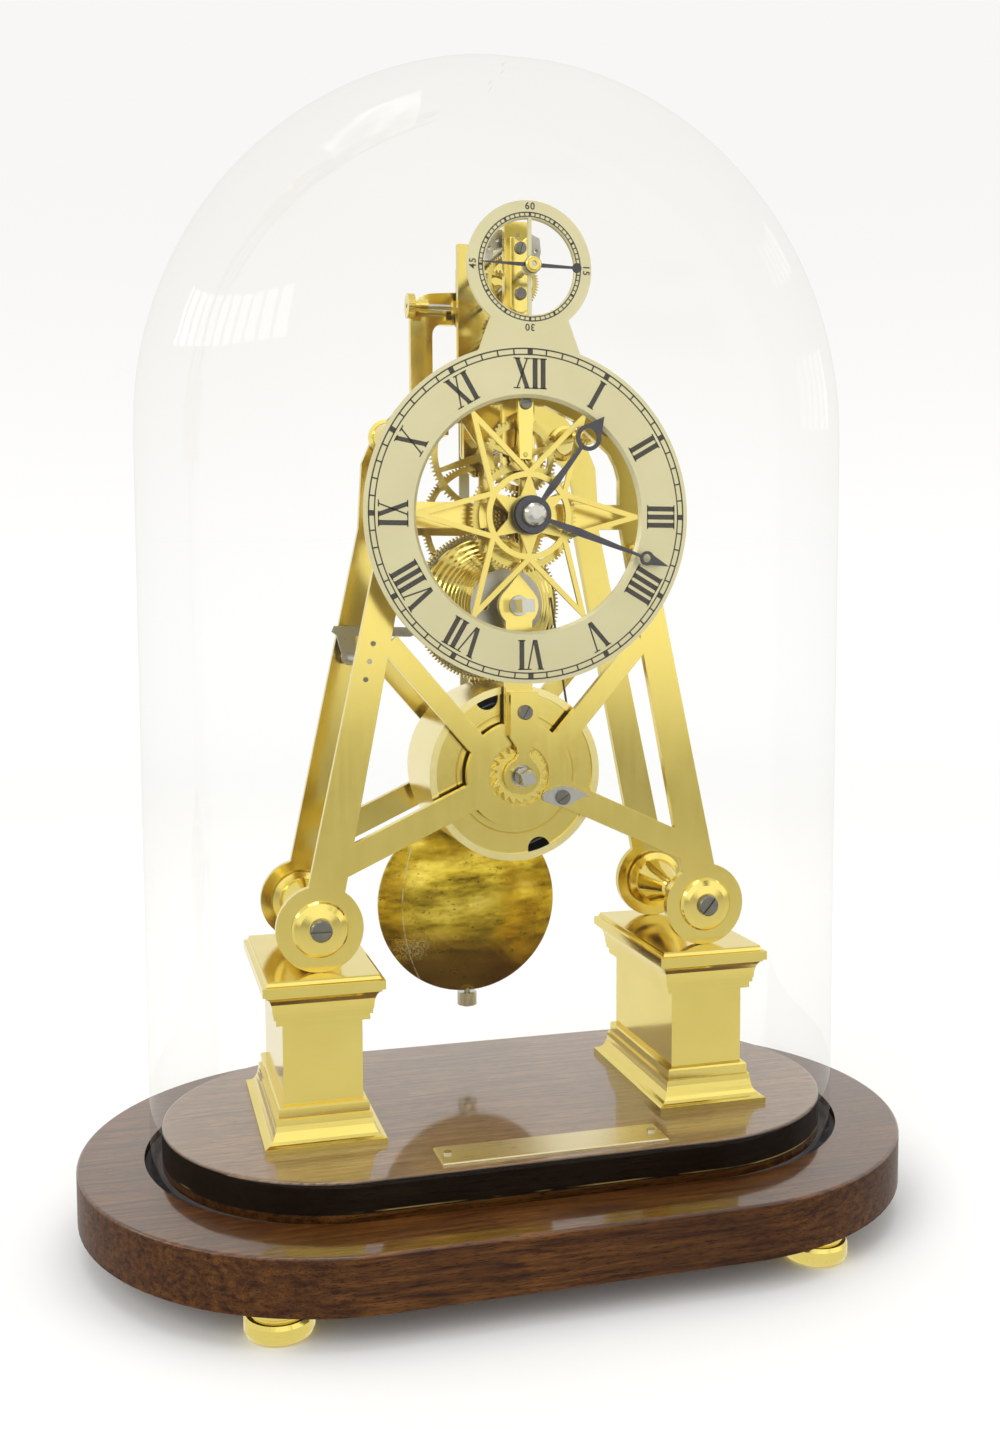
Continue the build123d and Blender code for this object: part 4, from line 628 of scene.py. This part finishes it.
def paper(name):
    """White paper near the clock, an even glow further out, and an uneven room in reflections."""
    n = Nodes(name)
    tone = n.noise(n.place(), 0.004, 3)
    sheet = n.add("BsdfDiffuse", {"Color": n.mix(tone, (0.83, 0.83, 0.825), (0.86, 0.86, 0.855))})
    rise = n.fade(n.axis("Z"), 0.0, 1100.0, smooth=True)
    glow = n.add("Emission", {"Color": n.mix(rise, HORIZON, BACKDROP)})
    far = n.fade(n.length(n.place()), 300.0, 2300.0, smooth=True)
    seen = n.add("MixShader", {0: far, 1: sheet, 2: glow})
    mirrored = n.add("Emission", {"Color": windows(n, room(n))})
    glossy = n.add("LightPath").outputs["Is Glossy Ray"]
    return n.finish(n.add("MixShader", {0: glossy, 1: seen, 2: mirrored}))


def room(n):
    """The room that metal mirrors: pale behind and on the left, patchy in front, dark near the floor."""
    front = n.fade(n.axis("Y"), 100.0, -1100.0)
    left = n.fade(n.axis("X"), -600.0, -1500.0)
    front = n.product(front, n.math("SUBTRACT", 1.0, left))
    low = n.fade(n.axis("Z"), 120.0, -20.0)
    patches = n.ramp(n.noise(n.place(), 0.0014, 2, 0.5), (0.30, 0.14), (0.37, 1.42), (0.58, 1.60))
    patches = n.mix(1.0, patches, (0.90, 0.89, 0.86), "MULTIPLY")
    dim = n.mix(n.product(low, 0.85), patches, (0.10, 0.095, 0.085))
    return n.mix(n.product(front, 0.85), (0.98, 0.97, 0.95), dim)


def windows(n, shade):
    """Adds a row of bright panes on the left wall and two fainter rows on the right one."""
    x, y, z = n.axis("X"), n.axis("Y"), n.axis("Z")
    panes_per_mm = 0.0036
    panes = n.ramp(n.math("FRACT", n.product(y, panes_per_mm)), (0.0, 0.0), (0.22, 0.0), (0.30, 1.0))
    left_row = n.product(n.between(y, -1900.0, 1000.0), n.between(z, 1150.0, 1700.0))
    left_row = n.product(left_row, panes, n.math("LESS_THAN", x, -1200.0))
    right_rows = n.math("MAXIMUM", n.between(z, 1500.0, 1900.0), n.between(z, 620.0, 1000.0))
    right_rows = n.product(right_rows, n.between(y, -500.0, 900.0), n.math("GREATER_THAN", x, 2000.0))
    shade = n.mix(left_row, shade, (5.5, 5.5, 5.4))
    return n.mix(n.product(right_rows, panes), shade, (2.2, 2.2, 2.15))


bowl_mesh.materials.append(paper("paper"))


def ceiling_glow(name):
    """A cloudy light for the ceiling panel."""
    n = Nodes(name)
    clouds = n.ramp(n.noise(n.place(), 0.0016, 2), (0.35, 0.2), (0.65, 1.0))
    return n.finish(n.add("Emission", {"Color": clouds, "Strength": 5.5}))


# A panel that only mirrors see: the soft patch on the dome's upper left.
PANEL_Z = 3.0
panel_mesh = bpy.data.meshes.new("ceiling_panel")
panel_corners = [(-1.2, -1.0), (0.1, -1.2), (0.0, 0.1), (-1.3, 0.4)]
panel_mesh.from_pydata([(x, y, PANEL_Z) for x, y in panel_corners], [], [(0, 1, 2, 3)])
panel_mesh.materials.append(ceiling_glow("panel_glow"))
panel = link("ceiling_panel", panel_mesh)
for ray in ("camera", "diffuse", "transmission", "shadow"):
    setattr(panel, "visible_" + ray, False)

world = bpy.data.worlds.new("studio")
bpy.context.scene.world = world
world.use_nodes = True
sky = world.node_tree
sky.nodes.clear()
sky_out = sky.nodes.new("ShaderNodeOutputWorld")
sky_glow = sky.nodes.new("ShaderNodeBackground")
sky_glow.inputs["Color"].default_value = (1.0, 1.0, 0.99, 1)
sky_glow.inputs["Strength"].default_value = 0.95
sky.links.new(sky_glow.outputs[0], sky_out.inputs[0])


def lamp(name, place, target, size, power):
    """A rectangular softbox that looks at target and doesn't show in mirrors."""
    light = bpy.data.lights.new(name, "AREA")
    light.shape = "RECTANGLE"
    light.size, light.size_y = size
    light.energy = power
    obj = link(name, light)
    obj.location = place
    obj.rotation_mode = "QUATERNION"
    obj.rotation_quaternion = (Vector(target) - Vector(place)).to_track_quat("-Z", "Y")
    obj.visible_glossy = False


middle = (cad_low + cad_high) / 2
lamp("key_left", (-1.3, -0.9, 1.2), middle, (1.0, 1.2), 11)
lamp("fill_right", (1.4, -1.0, 0.8), middle, (0.8, 1.2), 4)
lamp("top", (0.0, 0.2, 1.9), middle, (1.6, 1.2), 9)

# ---- camera -------------------------------------------------------------------------------------

camera = bpy.data.cameras.new("camera")
camera.sensor_width = 36.0           # spans the picture's long side
camera.lens = 34.64
camera.clip_start, camera.clip_end = 0.02, 20.0
viewer = link("camera", camera)
stand = Vector((-0.1394, -0.5052, 0.23096))
turn, pitch, roll = -0.270, -0.077, 0.004
aim = Matrix.Rotation(turn, 3, "Z") @ Matrix.Rotation(pitch, 3, "X") @ Matrix.Rotation(roll, 3, "Y")
upright = aim @ Matrix.Rotation(math.pi / 2, 3, "X")
viewer.matrix_world = Matrix.Translation(stand) @ upright.to_4x4()
bpy.context.scene.camera = viewer
bpy.context.scene.view_settings.view_transform = "Standard"
